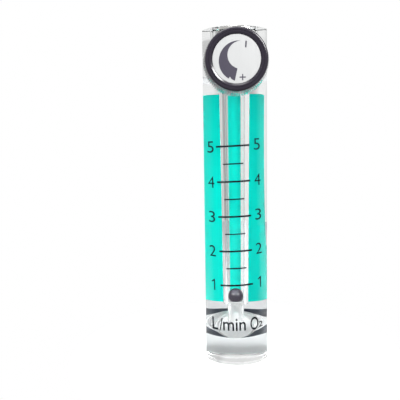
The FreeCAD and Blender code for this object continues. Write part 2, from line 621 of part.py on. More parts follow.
def make_knob_body():
    """The black moulded knob: a hollow shell with a hub, ribs and a rounded front rim."""
    rim = "sizes.rim_diameter / 2"
    recess = "(sizes.disc_diameter / 2 + sizes.fit_gap)"
    hub = "sizes.hub_diameter / 2"
    bush = "sizes.bush_diameter / 2"
    cavity = "(" + SHELL_RADIUS + " - sizes.shell_wall)"
    body = turned("knob_body", (
        ("0", WEB_REAR + " + sizes.web_thickness / 2"),
        (bush, WEB_REAR + " + sizes.web_thickness / 2"),
        (bush, KNOB_REAR + " + sizes.fit_gap"),
        (hub, KNOB_REAR + " + sizes.fit_gap"),
        (hub, WEB_REAR),
        (cavity, WEB_REAR),
        (cavity, KNOB_REAR + " + sizes.edge_bevel"),
        (SHELL_RADIUS, KNOB_REAR + " + sizes.edge_bevel"),
        (SHELL_RADIUS, SKIRT_FRONT),
        (rim, SKIRT_FRONT),
        (rim, KNOB_FRONT),
        (recess, KNOB_FRONT),
        (recess, DISC_FLOOR),
        ("0", DISC_FLOOR)), front_to_back=True)
    doc.recompute()

    lip = [
        "Edge%d" % index
        for index, edge in enumerate(body.Shape.Edges, start=1)
        if edge.BoundBox.YLength < 0.01
        and abs(edge.BoundBox.YMin + length(KNOB_FRONT)) < 0.01
        and abs(edge.BoundBox.XMax - length(rim)) < 0.01]
    turning = body.Tip
    rounding = body.newObject("PartDesign::Fillet", "rim_rounding")
    rounding.Base = (turning, lip)
    rounding.setExpression("Radius", "sizes.rim_round")

    rib = body.newObject("PartDesign::AdditiveBox", "rib")
    rib.setExpression("Length", cavity + " - " + hub + " + sizes.shell_wall")
    rib.setExpression("Width", "sizes.rib_thickness")
    rib.setExpression("Height", WEB_REAR + " - " + KNOB_REAR + " - sizes.rim_depth + 0.2")
    rib.setExpression("Placement.Base.x", hub + " - sizes.shell_wall / 2")
    rib.setExpression("Placement.Base.y", "-sizes.rib_thickness / 2")
    rib.setExpression("Placement.Base.z", KNOB_REAR + " + sizes.rim_depth")
    ribs = body.newObject("PartDesign::PolarPattern", "ribs")
    ribs.Originals = [rib]
    ribs.Axis = ([axis for axis in body.Origin.OriginFeatures if axis.Role == "Z_Axis"][0], [""])
    ribs.Angle = FULL_TURN
    ribs.Occurrences = RIB_COUNT
    body.Tip = ribs

    upward = FreeCAD.Rotation(FreeCAD.Vector(1, 0, 0), -90)
    cut_drilling(body, "screw_way", "sizes.screw_diameter / 2 + sizes.slip_gap",
                 "sizes.rim_diameter", SCREW_STATION, upward)
    return body


def make_knob_bush():
    """The metal bush moulded into the hub, with a retaining groove and the screw's thread."""
    outer = "sizes.bush_diameter / 2"
    bore = "(sizes.shaft_diameter / 2 + sizes.slip_gap)"
    groove = "(" + SCREW_STATION + " + sizes.screw_diameter)"
    body = turned("knob_bush", (
        (bore, KNOB_REAR),
        (outer, KNOB_REAR),
        (outer, groove + " - sizes.edge_bevel"),
        (outer + " - sizes.edge_bevel", groove),
        (outer, groove + " + sizes.edge_bevel"),
        (outer, BUSH_FRONT),
        (bore, BUSH_FRONT)), front_to_back=True)
    upward = FreeCAD.Rotation(FreeCAD.Vector(1, 0, 0), -90)
    cut_drilling(body, "screw_thread", "sizes.screw_diameter / 2 + sizes.slip_gap",
                 "sizes.rim_diameter", SCREW_STATION, upward)
    return body


def make_knob_skirt():
    """The bright metal ring round the knob, with a fine straight knurl cut into its cone."""
    rear = length(KNOB_REAR)
    front = length(SKIRT_FRONT)
    rear_radius = sheet.skirt_rear_diameter / 2
    front_radius = sheet.skirt_front_diameter / 2
    step = 2 * math.pi / KNURL_COUNT

    def toothed_wire(radius, station):
        """A closed saw-edged ring of tooth tips and groove bottoms."""
        points = []
        for tooth in range(KNURL_COUNT):
            for turn, depth in ((-0.28, 0), (0.28, 0), (0.5, sheet.knurl_depth)):
                angle = (tooth + turn) * step
                reach = radius - depth
                points.append(FreeCAD.Vector(reach * math.cos(angle),
                                             reach * math.sin(angle), station))
        return Part.makePolygon(points + points[:1])

    def turned_solid(corners):
        """A solid swept about Z from corners of radius and station."""
        points = [FreeCAD.Vector(radius, 0, station) for radius, station in corners]
        face = Part.Face(Part.makePolygon(points + points[:1]))
        return face.revolve(FreeCAD.Vector(0, 0, 0), FreeCAD.Vector(0, 0, 1), FULL_TURN)

    wires = [toothed_wire(rear_radius, rear), toothed_wire(front_radius, front)]
    teeth = Part.makeLoft(wires, True, True)
    inner = length(SHELL_RADIUS)
    bevel = sheet.knurl_bevel
    envelope = turned_solid((
        (inner, rear),
        (rear_radius - bevel, rear),
        (rear_radius, rear + bevel),
        (front_radius, front - bevel),
        (front_radius - bevel, front),
        (inner, front)))
    solid = teeth.common(envelope)
    way = Part.makeCylinder(sheet.screw_diameter / 2 + sheet.fit_gap, 2 * rear_radius,
                            FreeCAD.Vector(0, 0, length(SCREW_STATION)),
                            FreeCAD.Vector(0, 1, 0))
    skirt = doc.addObject("Part::Feature", "knob_skirt")
    skirt.Label = "knob_skirt"
    skirt.Shape = solid.cut(way)
    skirt.Placement = FreeCAD.Placement(FreeCAD.Vector(0, 0, length(VALVE_HEIGHT)),
                                        FreeCAD.Rotation(FreeCAD.Vector(1, 0, 0), 90))
    return skirt


def make_knob_disc():
    """The silver disc in the front of the knob."""
    return turned("knob_disc", (
        ("0", DISC_FLOOR),
        ("sizes.disc_diameter / 2", DISC_FLOOR),
        ("sizes.disc_diameter / 2", DISC_FLOOR + " + sizes.disc_thickness - sizes.slip_gap"),
        ("sizes.disc_diameter / 2 - sizes.slip_gap * 4", DISC_FLOOR + " + sizes.disc_thickness"),
        ("0", DISC_FLOOR + " + sizes.disc_thickness")), front_to_back=True)


def make_set_screw():
    """The headless screw that holds the knob on the flat of the shaft."""
    top = SCREW_FOOT + " + sizes.screw_length"
    body = turned("set_screw", (
        ("0", SCREW_FOOT),
        ("sizes.screw_diameter / 4", SCREW_FOOT),
        ("sizes.screw_diameter / 2", SCREW_FOOT + " + sizes.screw_diameter / 4"),
        ("sizes.screw_diameter / 2", top),
        ("0", top)))
    sunk_hexagon(body, "screw_socket", "sizes.screw_socket_flats", top, "sizes.screw_length / 2")
    body.setExpression("Placement.Base.y", "-(" + SCREW_STATION + ")")
    body.setExpression("Placement.Base.z", VALVE_HEIGHT)
    return body


def check_document():
    """Stop if any object of the document failed to build."""
    for item in doc.Objects:
        state = " ".join(item.State)
        if "Invalid" in state or "Error" in state:
            raise RuntimeError("%s did not build: %s" % (item.Label, state))


def export_pieces(pieces):
    """Write each piece to its own file, named after the piece."""
    os.makedirs("parts", exist_ok=True)
    for piece in pieces:
        shape = piece.Shape
        if shape.isNull() or not shape.isValid() or shape.Volume <= 0:
            raise RuntimeError("%s has no valid solid" % piece.Label)
        shape.exportStep("parts/%s.step" % piece.Label)
        print("%-14s %9.2f mm3, %d solid(s)" % (piece.Label, shape.Volume, len(shape.Solids)))


body_ring_front = "(" + RING_START + " + " + RING_WIDTH + " / 2)"
body_ring_rear = "(-" + RING_START + " - " + RING_WIDTH + " / 2)"
body_ring_radius = "(" + CAVITY_RADIUS + " - sizes.body_ring_section / 2)"
plug_ring_radius = "((sizes.plug_thread_diameter + sizes.plug_ring_section) / 2)"
plug_ring_height = "(" + PLUG_FLOOR + " + sizes.plug_ring_section / 2)"

pieces = [
    make_block(),
    make_film(),
    make_scale_lines(),
    make_ball_seat(),
    make_float_ball(),
    make_float_stop(),
    make_bore_plug(),
    make_ring("plug_ring", plug_ring_radius, "sizes.plug_ring_section", plug_ring_height),
    make_valve_body(),
    make_ring("front_body_ring", body_ring_radius, "sizes.body_ring_section",
              body_ring_front, front_to_back=True),
    make_ring("rear_body_ring", body_ring_radius, "sizes.body_ring_section",
              body_ring_rear, front_to_back=True),
    make_stem(),
    make_ring("stem_ring", STEM_RING_RADIUS, "sizes.stem_ring_section",
              STEM_RING_STATION, front_to_back=True),
    make_stem_clip(),
    make_knob_body(),
    make_knob_bush(),
    make_knob_skirt(),
    make_knob_disc(),
    make_set_screw(),
]
doc.recompute()
check_document()
export_pieces(pieces)
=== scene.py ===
import math

import bpy
from bpy.props import FloatProperty, FloatVectorProperty, IntProperty, PointerProperty
from mathutils import Matrix, Vector


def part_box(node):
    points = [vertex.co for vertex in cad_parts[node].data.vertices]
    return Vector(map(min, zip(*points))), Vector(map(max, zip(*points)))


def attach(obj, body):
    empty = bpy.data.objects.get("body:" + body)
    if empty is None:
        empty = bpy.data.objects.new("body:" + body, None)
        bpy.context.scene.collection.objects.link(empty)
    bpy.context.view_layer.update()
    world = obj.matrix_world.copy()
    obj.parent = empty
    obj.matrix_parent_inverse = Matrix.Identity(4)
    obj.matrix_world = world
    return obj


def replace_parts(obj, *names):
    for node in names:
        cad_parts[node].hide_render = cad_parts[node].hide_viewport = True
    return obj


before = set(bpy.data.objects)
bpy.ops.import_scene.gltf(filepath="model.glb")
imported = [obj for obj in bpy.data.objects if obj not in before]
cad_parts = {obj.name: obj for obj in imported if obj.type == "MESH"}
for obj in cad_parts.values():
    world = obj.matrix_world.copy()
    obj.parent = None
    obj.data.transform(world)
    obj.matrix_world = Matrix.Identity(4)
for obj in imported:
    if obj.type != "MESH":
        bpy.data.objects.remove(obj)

# An oxygen flowmeter: a clear acrylic block with a tapered bore and a ball, a turquoise film
# on its back, a printed scale on its rounded front, and a needle valve with a round knob.
# Lengths are in metres. The front is -Y, and the bore's axis is X = 0, Y = 0.

bl_info = {
    "name": "Oxygen flowmeter",
    "version": (1, 0, 0),
    "blender": (4, 5, 0),
    "location": "3D View > Sidebar > Flowmeter",
    "description": "Builds the pieces of an acrylic oxygen flowmeter around its frame",
    "category": "Object",
}

# A millimetre, the distance within which points are one, how far a cutter overshoots, the
# clearance of a fit, a whole turn, and the block's material
MM = 0.001
WELD = 1e-6
OVERCUT = 1.0 * MM
FIT = 0.05 * MM
FULL_TURN = 2 * math.pi
ACRYLIC = (0.985, 0.995, 0.992)
ACRYLIC_IOR = 1.49
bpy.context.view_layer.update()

BLOCK_LOW, BLOCK_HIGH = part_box("acrylic_body")
FILM_LOW, FILM_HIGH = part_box("backing_film")
SEAT_LOW, SEAT_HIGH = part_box("ball_seat")
BALL_LOW, BALL_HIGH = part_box("float_ball")
STOP_LOW, STOP_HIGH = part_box("float_stop")
PLUG_LOW, PLUG_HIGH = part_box("bore_plug")
KNOB_LOW, KNOB_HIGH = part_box("knob_body")
SKIRT_LOW, SKIRT_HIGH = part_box("knob_skirt")
DISC_LOW, DISC_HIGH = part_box("knob_disc")

BLOCK_HALF = BLOCK_HIGH[0]
BLOCK_BACK = BLOCK_HIGH[1]
BLOCK_FRONT = BLOCK_LOW[1]
BLOCK_TOP = BLOCK_HIGH[2]
VALVE_HEIGHT = (KNOB_LOW[2] + KNOB_HIGH[2]) / 2
RIM_FRONT = KNOB_LOW[1]
SKIRT_REAR = SKIRT_HIGH[1]
SKIRT_FRONT = SKIRT_LOW[1]


class FlowmeterSizes(bpy.types.PropertyGroup):
    """Sizes that the frame's boxes don't give."""

    front_bulge: FloatProperty(
        name="Front bulge", description="Rounded front beyond the block's side edges",
        default=7.7 * MM, unit="LENGTH")
    edge_bevel: FloatProperty(
        name="Edge bevel", description="Polished bevel on the block's edges",
        default=0.4 * MM, unit="LENGTH")
    bore_seat: FloatProperty(
        name="Bore at the seat", description="Narrow end of the tapered bore",
        default=6.8 * MM, unit="LENGTH")
    bore_top: FloatProperty(
        name="Bore at the top", description="Wide end of the tapered bore",
        default=8.1 * MM, unit="LENGTH")
    stub_bore: FloatProperty(
        name="Stub bore", description="Drilling from the inlet up to the seat",
        default=4.3 * MM, unit="LENGTH")
    inlet_height: FloatProperty(
        name="Inlet height", description="Axis of the inlet port",
        default=12.7 * MM, unit="LENGTH")
    port_thread: FloatProperty(
        name="Port thread", description="Diameter at the bottom of the inlet's thread",
        default=10.4 * MM, unit="LENGTH")
    port_crest: FloatProperty(
        name="Port crest", description="Diameter over the crests of the inlet's thread",
        default=9.9 * MM, unit="LENGTH")
    gasket_width: FloatProperty(
        name="Gasket width", description="Oval gasket round the inlet, side to side",
        default=18.0 * MM, unit="LENGTH")
    gasket_height: FloatProperty(
        name="Gasket height", description="Oval gasket round the inlet, top to bottom",
        default=12.2 * MM, unit="LENGTH")
    gasket_hole_width: FloatProperty(
        name="Gasket hole width", description="Oval hole in the gasket, side to side",
        default=11.5 * MM, unit="LENGTH")
    gasket_hole_height: FloatProperty(
        name="Gasket hole height", description="Oval hole in the gasket, top to bottom",
        default=9.5 * MM, unit="LENGTH")
    thread_depth: FloatProperty(
        name="Thread depth", description="Threaded depth of the inlet",
        default=5.5 * MM, unit="LENGTH")
    port_depth: FloatProperty(
        name="Port depth", description="Depth of the inlet's drilled hole",
        default=7.0 * MM, unit="LENGTH")
    thread_pitch: FloatProperty(
        name="Thread pitch", description="Pitch of the port's thread",
        default=0.91 * MM, unit="LENGTH")
    film_bite: FloatProperty(
        name="Film contact", description="Depth of the film and the gasket inside the block's back",
        default=0.03 * MM, unit="LENGTH")
    scale_start: FloatProperty(
        name="Scale start", description="Height of line 1",
        default=32.8 * MM, unit="LENGTH")
    scale_step: FloatProperty(
        name="Scale step", description="Height from one number to the next",
        default=13.64 * MM, unit="LENGTH")
    print_skew: FloatProperty(
        name="Print skew", description="Turn of the whole print on the block",
        default=math.radians(1.3), subtype="ANGLE")
    line_tilt: FloatProperty(
        name="Line tilt", description="Tilt of the scale's lines against the rest of the print",
        default=math.radians(1.2), subtype="ANGLE")
    numeral_weight: FloatProperty(
        name="Numeral weight", description="Thickening of the numbers' strokes",
        default=-0.02 * MM, unit="LENGTH")
    letter_weight: FloatProperty(
        name="Letter weight", description="Thickening of the unit mark's strokes",
        default=0.04 * MM, unit="LENGTH")
    numeral_height: FloatProperty(
        name="Numeral height", description="Height of the printed numbers",
        default=4.4 * MM, unit="LENGTH")
    ink: FloatProperty(
        name="Ink", description="Thickness of the printed ink",
        default=0.03 * MM, unit="LENGTH")
    knurl_count: IntProperty(
        name="Knurl", description="Teeth round the knob's skirt", default=88)
    knurl_depth: FloatProperty(
        name="Knurl depth", description="Depth of the knurl's grooves",
        default=0.35 * MM, unit="LENGTH")


class FlowmeterColours(bpy.types.PropertyGroup):
    """Colours of the finishes, in linear light."""

    film: FloatVectorProperty(
        name="Film", description="Turquoise backing film", subtype="COLOR",
        size=3, default=(0.002, 0.95, 0.8))
    ink: FloatVectorProperty(
        name="Ink", description="Printed lines and numbers", subtype="COLOR",
        size=3, default=(0.004, 0.006, 0.008))
    knob: FloatVectorProperty(
        name="Knob", description="Moulded black plastic", subtype="COLOR",
        size=3, default=(0.019, 0.0165, 0.023))
    disc: FloatVectorProperty(
        name="Disc", description="Pale silver disc", subtype="COLOR",
        size=3, default=(0.46, 0.465, 0.465))
    mark: FloatVectorProperty(
        name="Knob mark", description="Printed mark on the knob's disc", subtype="COLOR",
        size=3, default=(0.033, 0.029, 0.044))
    ball: FloatVectorProperty(
        name="Ball", description="Dark glass ball", subtype="COLOR",
        size=3, default=(0.055, 0.046, 0.068))


def sizes():
    """The sizes in use."""
    return bpy.context.scene.flowmeter_sizes


def colours():
    """The colours in use."""
    return bpy.context.scene.flowmeter_colours


# Modelling helpers

def start_clean():
    """Leave edit mode and deselect everything."""
    if bpy.context.mode != "OBJECT":
        bpy.ops.object.mode_set(mode="OBJECT")
    bpy.ops.object.select_all(action="DESELECT")


def pick(piece):
    """Select one piece alone and make it the active one."""
    start_clean()
    bpy.context.view_layer.objects.active = piece
    piece.select_set(True)


def apply_place():
    """Write the selected piece's place, turn and scale into its mesh."""
    bpy.ops.object.transform_apply(location=True, rotation=True, scale=True)


def merge_doubles(threshold=WELD):
    """In edit mode, select everything and merge the points that fall together."""
    bpy.ops.mesh.select_all(action="SELECT")
    bpy.ops.mesh.remove_doubles(threshold=threshold)


def finish_piece(piece, name, body, finish, smooth_angle=30):
    """Name, shade and dress a finished piece, with its place in its mesh."""
    pick(piece)
    piece.name = name
    piece.data.name = name
    apply_place()
    bpy.ops.object.shade_smooth_by_angle(angle=math.radians(smooth_angle))
    piece.data.materials.clear()
    piece.data.materials.append(finish)
    piece.select_set(False)
    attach(piece, body)


def chain_profile(points):
    """Draw a chain of points by extruding one vertex from the first to the last."""
    start_clean()
    bpy.ops.mesh.primitive_plane_add(size=MM, location=points[0])
    piece = bpy.context.active_object
    apply_place()
    bpy.ops.object.mode_set(mode="EDIT")
    bpy.ops.mesh.select_mode(type="VERT")
    bpy.ops.mesh.select_all(action="SELECT")
    bpy.ops.mesh.merge(type="CENTER")
    for start, end in zip(points, points[1:]):
        step = Vector(end) - Vector(start)
        bpy.ops.mesh.extrude_vertices_move(TRANSFORM_OT_translate={"value": step})
    return piece


def filled_outline(points):
    """A flat face inside a ring of points, left in edit mode and selected."""
    piece = chain_profile(points + points[:1])
    merge_doubles()
    bpy.ops.mesh.select_all(action="SELECT")
    bpy.ops.mesh.edge_face_add()
    return piece


def turned(profile, steps=160, along="Z", height=0.0):
    """A turned solid from radius and station pairs; along Y, a station is counted forwards."""
    if along == "Z":
        points = [(radius, 0, station) for radius, station in profile]
        centre, axis = (0, 0, 0), (0, 0, 1)
    else:
        points = [(radius, -station, height) for radius, station in profile]
        centre, axis = (0, 0, height), (0, 1, 0)
    piece = chain_profile(points)
    merge_doubles()
    bpy.ops.mesh.select_all(action="SELECT")
    bpy.ops.mesh.spin(steps=steps, angle=FULL_TURN, center=centre, axis=axis)
    merge_doubles()
    bpy.ops.mesh.normals_make_consistent(inside=False)
    bpy.ops.object.mode_set(mode="OBJECT")
    return piece


def round_corner(centre, radius, first, last, steps):
    """Points of an arc between two angles in degrees, as radius and station pairs."""
    points = []
    for step in range(steps + 1):
        angle = math.radians(first + (last - first) * step / steps)
        points.append((centre[0] + radius * math.cos(angle),
                       centre[1] + radius * math.sin(angle)))
    return points


def add_modifier(piece, kind, **settings):
    """Add a modifier, set it and apply it."""
    pick(piece)
    bpy.ops.object.modifier_add(type=kind)
    modifier = piece.modifiers[-1]
    for name, value in settings.items():
        setattr(modifier, name, value)
    bpy.ops.object.modifier_apply(modifier=modifier.name)
    piece.select_set(False)


def carve(piece, cutter):
    """Cut one solid out of a piece and delete the cutter."""
    add_modifier(piece, "BOOLEAN", operation="DIFFERENCE", solver="EXACT", object=cutter)
    bpy.data.objects.remove(cutter)


def fuse(piece, addition):
    """Join a solid to a piece and delete the original."""
    add_modifier(piece, "BOOLEAN", operation="UNION", solver="EXACT", object=addition)
    bpy.data.objects.remove(addition)


def select_faces(piece, chosen):
    """In edit mode, select the faces whose centre passes a test."""
    bpy.ops.mesh.select_mode(type="FACE")
    bpy.ops.mesh.select_all(action="DESELECT")
    bpy.ops.object.mode_set(mode="OBJECT")
    for face in piece.data.polygons:
        face.select = chosen(face.center)
    bpy.ops.object.mode_set(mode="EDIT")


def select_edges(piece, chosen):
    """In edit mode, select the edges whose two ends pass a test."""
    bpy.ops.mesh.select_mode(type="EDGE")
    bpy.ops.mesh.select_all(action="DESELECT")
    bpy.ops.object.mode_set(mode="OBJECT")
    points = piece.data.vertices
    for edge in piece.data.edges:
        first, second = (points[index].co for index in edge.vertices)
        edge.select = chosen(first, second)
    bpy.ops.object.mode_set(mode="EDIT")


# Materials

def new_material(name, colour, roughness, metallic=0.0):
    """A material with its plain values on the shader's own sockets."""
    made = bpy.data.materials.new(name)
    made.use_nodes = True
    shader = made.node_tree.nodes["Principled BSDF"]
    shader.inputs["Base Color"].default_value = (*colour, 1)
    shader.inputs["Roughness"].default_value = roughness
    shader.inputs["Metallic"].default_value = metallic
    return made, shader


def pattern_space(tree, scale=(1, 1, 1), centre=(0, 0, 0)):
    """Object coordinates, centred and scaled for a pattern."""
    place = tree.nodes.new("ShaderNodeTexCoord")
    mapping = tree.nodes.new("ShaderNodeMapping")
    mapping.inputs["Location"].default_value = [-c * s for c, s in zip(centre, scale)]
    mapping.inputs["Scale"].default_value = scale
    tree.links.new(place.outputs["Object"], mapping.inputs["Vector"])
    return mapping.outputs["Vector"]


def noise(tree, vector, scale, detail=2.0):
    """A noise pattern at so many cells a metre."""
    node = tree.nodes.new("ShaderNodeTexNoise")
    node.inputs["Scale"].default_value = scale
    node.inputs["Detail"].default_value = detail
    tree.links.new(vector, node.inputs["Vector"])
    return node.outputs["Fac"]


def map_range(tree, value, start, end, low, high):
    """Map a value from start..end to low..high, and hold it at both ends."""
    node = tree.nodes.new("ShaderNodeMapRange")
    node.inputs["From Min"].default_value = start
    node.inputs["From Max"].default_value = end
    node.inputs["To Min"].default_value = low
    node.inputs["To Max"].default_value = high
    tree.links.new(value, node.inputs["Value"])
    return node.outputs["Result"]


def combine(tree, operation, first, *others):
    """Join two or more values by an operation."""
    for other in others:
        node = tree.nodes.new("ShaderNodeMath")
        node.operation = operation
        tree.links.new(first, node.inputs[0])
        tree.links.new(other, node.inputs[1])
        first = node.outputs["Value"]
    return first


def split_axes(tree, vector):
    """The three parts of a place or a direction, under the names X, Y and Z."""
    node = tree.nodes.new("ShaderNodeSeparateXYZ")
    tree.links.new(vector, node.inputs["Vector"])
    return node.outputs


def radius_of(tree, vector):
    """How far a place lies from the pattern's origin."""
    node = tree.nodes.new("ShaderNodeVectorMath")
    node.operation = "LENGTH"
    tree.links.new(vector, node.inputs[0])
    return node.outputs["Value"]


def bump(tree, shader, height, strength, distance):
    """Raise a pattern on the shader's normal."""
    node = tree.nodes.new("ShaderNodeBump")
    node.inputs["Strength"].default_value = strength
    node.inputs["Distance"].default_value = distance
    tree.links.new(height, node.inputs["Height"])
    tree.links.new(node.outputs["Normal"], shader.inputs["Normal"])


def vary_colour(tree, shader, value, dark, light):
    """Drive the base colour between two colours by a pattern."""
    ramp = tree.nodes.new("ShaderNodeValToRGB")
    ramp.color_ramp.elements[0].color = (*dark, 1)
    ramp.color_ramp.elements[1].color = (*light, 1)
    tree.links.new(value, ramp.inputs["Fac"])
    tree.links.new(ramp.outputs["Color"], shader.inputs["Base Color"])


def vary_roughness(tree, shader, value, smooth, rough):
    """Drive the roughness between two values by a pattern."""
    tree.links.new(map_range(tree, value, 0.0, 1.0, smooth, rough), shader.inputs["Roughness"])


def shaded(colour, factor):
    """A colour made darker or lighter by a factor."""
    return [min(1.0, channel * factor) for channel in colour]


def clear_acrylic():
    """Polished cast acrylic, with the faintest waviness left by polishing."""
    made, shader = new_material("clear_acrylic", ACRYLIC, roughness=0.0)
    shader.inputs["Transmission Weight"].default_value = 1.0
    shader.inputs["IOR"].default_value = ACRYLIC_IOR
    tree = made.node_tree
    waves = noise(tree, pattern_space(tree), scale=90)
    bump(tree, shader, waves, strength=0.02, distance=0.02 * MM)
    return made


def machined_acrylic():
    """Acrylic left frosted by the drill and the tap."""
    made, shader = new_material("machined_acrylic", ACRYLIC, roughness=0.3)
    shader.inputs["Transmission Weight"].default_value = 0.7
    shader.inputs["IOR"].default_value = ACRYLIC_IOR
    tree = made.node_tree
    frost = noise(tree, pattern_space(tree), scale=700, detail=3)
    vary_roughness(tree, shader, frost, smooth=0.22, rough=0.42)
    return made


def film_vinyl():
    """Turquoise vinyl film, darker towards the right with painted shade, and slightly uneven in
    tone.
    """
    base = colours().film
    made, shader = new_material("film_vinyl", base, roughness=0.6)
    shader.inputs["Specular IOR Level"].default_value = 0.0
    tree = made.node_tree
    space = pattern_space(tree)
    tone = noise(tree, space, scale=60, detail=3)
    # Painted shade: the film's colour darkens from left to right
    across = map_range(tree, split_axes(tree, space)["X"], -3 * MM, 3 * MM, 0.9, 0.1)
    unevenness = map_range(tree, tone, 0.0, 1.0, -0.1, 0.1)
    vary_colour(tree, shader, combine(tree, "ADD", across, unevenness),
                shaded(base, 0.84), shaded(base, 1.03))
    return made


def print_ink():
    """Black screen-printed ink, a little thin in places."""
    base = colours().ink
    made, shader = new_material("print_ink", base, roughness=0.5)
    shader.inputs["Specular IOR Level"].default_value = 0.05
    tree = made.node_tree
    tone = noise(tree, pattern_space(tree), scale=900, detail=3)
    vary_colour(tree, shader, tone, shaded(base, 0.7), shaded(base, 1.6))
    return made


def ball_glass():
    """Polished black glass."""
    base = colours().ball
    made, shader = new_material("ball_glass", base, roughness=0.06)
    shader.inputs["Coat Weight"].default_value = 0.6
    tree = made.node_tree
    tone = noise(tree, pattern_space(tree), scale=400)
    vary_colour(tree, shader, tone, shaded(base, 0.8), shaded(base, 1.2))
    return made


def turned_metal(name, colour, roughness, along="Y"):
    """Turned metal with fine tool marks round its axis."""
    made, shader = new_material(name, colour, roughness, metallic=1.0)
    tree = made.node_tree
    fineness = (1, 60, 1) if along == "Y" else (1, 1, 60)
    marks = noise(tree, pattern_space(tree, scale=fineness), scale=120, detail=3)
    vary_roughness(tree, shader, marks, smooth=roughness * 0.7, rough=roughness * 1.4)
    bump(tree, shader, marks, strength=0.15, distance=0.02 * MM)
    return made


def skirt_metal(wide, narrow):
    """Bright aluminium, with painted shade in the knurl's grooves and past its ends."""
    made = turned_metal("skirt_metal", (0.86, 0.86, 0.86), roughness=0.2)
    tree = made.node_tree
    reach = radius_of(tree, pattern_space(tree, scale=(1, 0, 1), centre=(0, 0, VALVE_HEIGHT)))
    station = split_axes(tree, pattern_space(tree))["Y"]
    cone = map_range(tree, station, SKIRT_REAR, SKIRT_FRONT, wide, narrow)
    below = combine(tree, "SUBTRACT", cone, reach)
    depth = sizes().knurl_depth
    # Painted shade: grey in the knurl's grooves and on the bevels past its ends, light on the
    # crests
    bright = map_range(tree, below, 0.65 * depth, 1.1 * depth, 1.0, 0.0)
    painted_groove_shade, crest_grey = (0.42, 0.42, 0.43), (0.9, 0.9, 0.9)
    vary_colour(tree, tree.nodes["Principled BSDF"], bright, painted_groove_shade, crest_grey)
    return made


def moulded_plastic(name, colour, roughness, grain=2600):
    """Moulded plastic with a fine grain of so many cells a metre."""
    made, shader = new_material(name, colour, roughness)
    tree = made.node_tree
    grains = noise(tree, pattern_space(tree), scale=grain, detail=3)
    vary_roughness(tree, shader, grains, smooth=roughness * 0.8, rough=roughness * 1.25)
    tone = noise(tree, pattern_space(tree), scale=150)
    vary_colour(tree, shader, tone, shaded(colour, 0.85), shaded(colour, 1.15))
    bump(tree, shader, grains, strength=0.08, distance=0.02 * MM)
    return made


def rubber(name, colour, roughness):
    """Dull rubber with a slightly uneven surface."""
    return moulded_plastic(name, colour, roughness, grain=3200)


def satin_disc():
    """Pale satin metal, brushed in one direction."""
    base = colours().disc
    made, shader = new_material("satin_disc", base, roughness=0.38, metallic=0.35)
    tree = made.node_tree
    strokes = noise(tree, pattern_space(tree, scale=(25, 1, 1)), scale=160, detail=4)
    vary_roughness(tree, shader, strokes, smooth=0.3, rough=0.46)
    vary_colour(tree, shader, strokes, shaded(base, 0.96), shaded(base, 1.03))
    bump(tree, shader, strokes, strength=0.05, distance=0.01 * MM)
    return made


# Pieces

def block_solid():
    """The block's bar: a circle cut to its front arc, drawn back to the flat back and up."""
    bulge = sizes().front_bulge
    radius = (BLOCK_HALF ** 2 + bulge ** 2) / (2 * bulge)
    centre_y = BLOCK_FRONT + radius
    shoulder = BLOCK_FRONT + bulge
    start_clean()
    bpy.ops.mesh.primitive_circle_add(
        vertices=512, radius=radius, fill_type="NOTHING", location=(0, centre_y, 0))
    piece = bpy.context.active_object
    apply_place()
    bpy.ops.object.mode_set(mode="EDIT")
    bpy.ops.mesh.select_all(action="SELECT")
    bpy.ops.mesh.bisect(plane_co=(0, shoulder, 0), plane_no=(0, 1, 0),
                        clear_outer=True, threshold=WELD)
    bpy.ops.mesh.select_mode(type="VERT")
    bpy.ops.mesh.select_all(action="DESELECT")
    bpy.ops.object.mode_set(mode="OBJECT")
    for point in piece.data.vertices:
        point.select = point.co.y > shoulder - WELD
    bpy.ops.object.mode_set(mode="EDIT")
    bpy.ops.mesh.extrude_vertices_move(
        TRANSFORM_OT_translate={"value": (0, BLOCK_BACK - shoulder, 0)})
    bpy.ops.mesh.edge_face_add()
    bpy.ops.mesh.select_all(action="SELECT")
    bpy.ops.mesh.edge_face_add()
    flat = math.radians(0.01)
    bpy.ops.mesh.dissolve_limited(angle_limit=flat)
    bpy.ops.mesh.select_all(action="SELECT")
    over_inlet, under_plug = 20 * MM, BLOCK_TOP - 4 * MM
    reached = 0.0
    for level in (over_inlet, FILM_HIGH[2], under_plug, BLOCK_TOP):
        bpy.ops.mesh.extrude_region_move(
            TRANSFORM_OT_translate={"value": (0, 0, level - reached)})
        reached = level
    merge_doubles()
    bpy.ops.mesh.normals_make_consistent(inside=False)
    return piece


def bevel_rims(piece):
    """Polish a small bevel on the top and bottom rims and the two back corners."""
    edge = sizes().edge_bevel

    def is_rim(first, second):
        """True for an edge of a rim or a back corner."""
        at_top = min(first.z, second.z) > BLOCK_TOP - WELD
        at_bottom = max(first.z, second.z) < WELD
        at_corner = (min(first.y, second.y) > BLOCK_BACK - WELD
                     and abs(first.x - second.x) < WELD)
        return at_top or at_bottom or at_corner

    select_edges(piece, is_rim)
    bpy.ops.mesh.bevel(offset=edge, segments=2, profile=0.5)
    bpy.ops.object.mode_set(mode="OBJECT")


def threaded_profile(inner, outer, start, end, pitch):
    """Radius and station pairs of a row of thread grooves between two stations."""
    rise, fall = 0.4 * pitch, 0.6 * pitch
    points = []
    count = int((end - start) / pitch)
    for turn in range(count):
        station = start + turn * pitch
        points += [(inner, station), (outer, station + rise), (outer, station + fall)]
    points.append((inner, start + count * pitch))
    return points


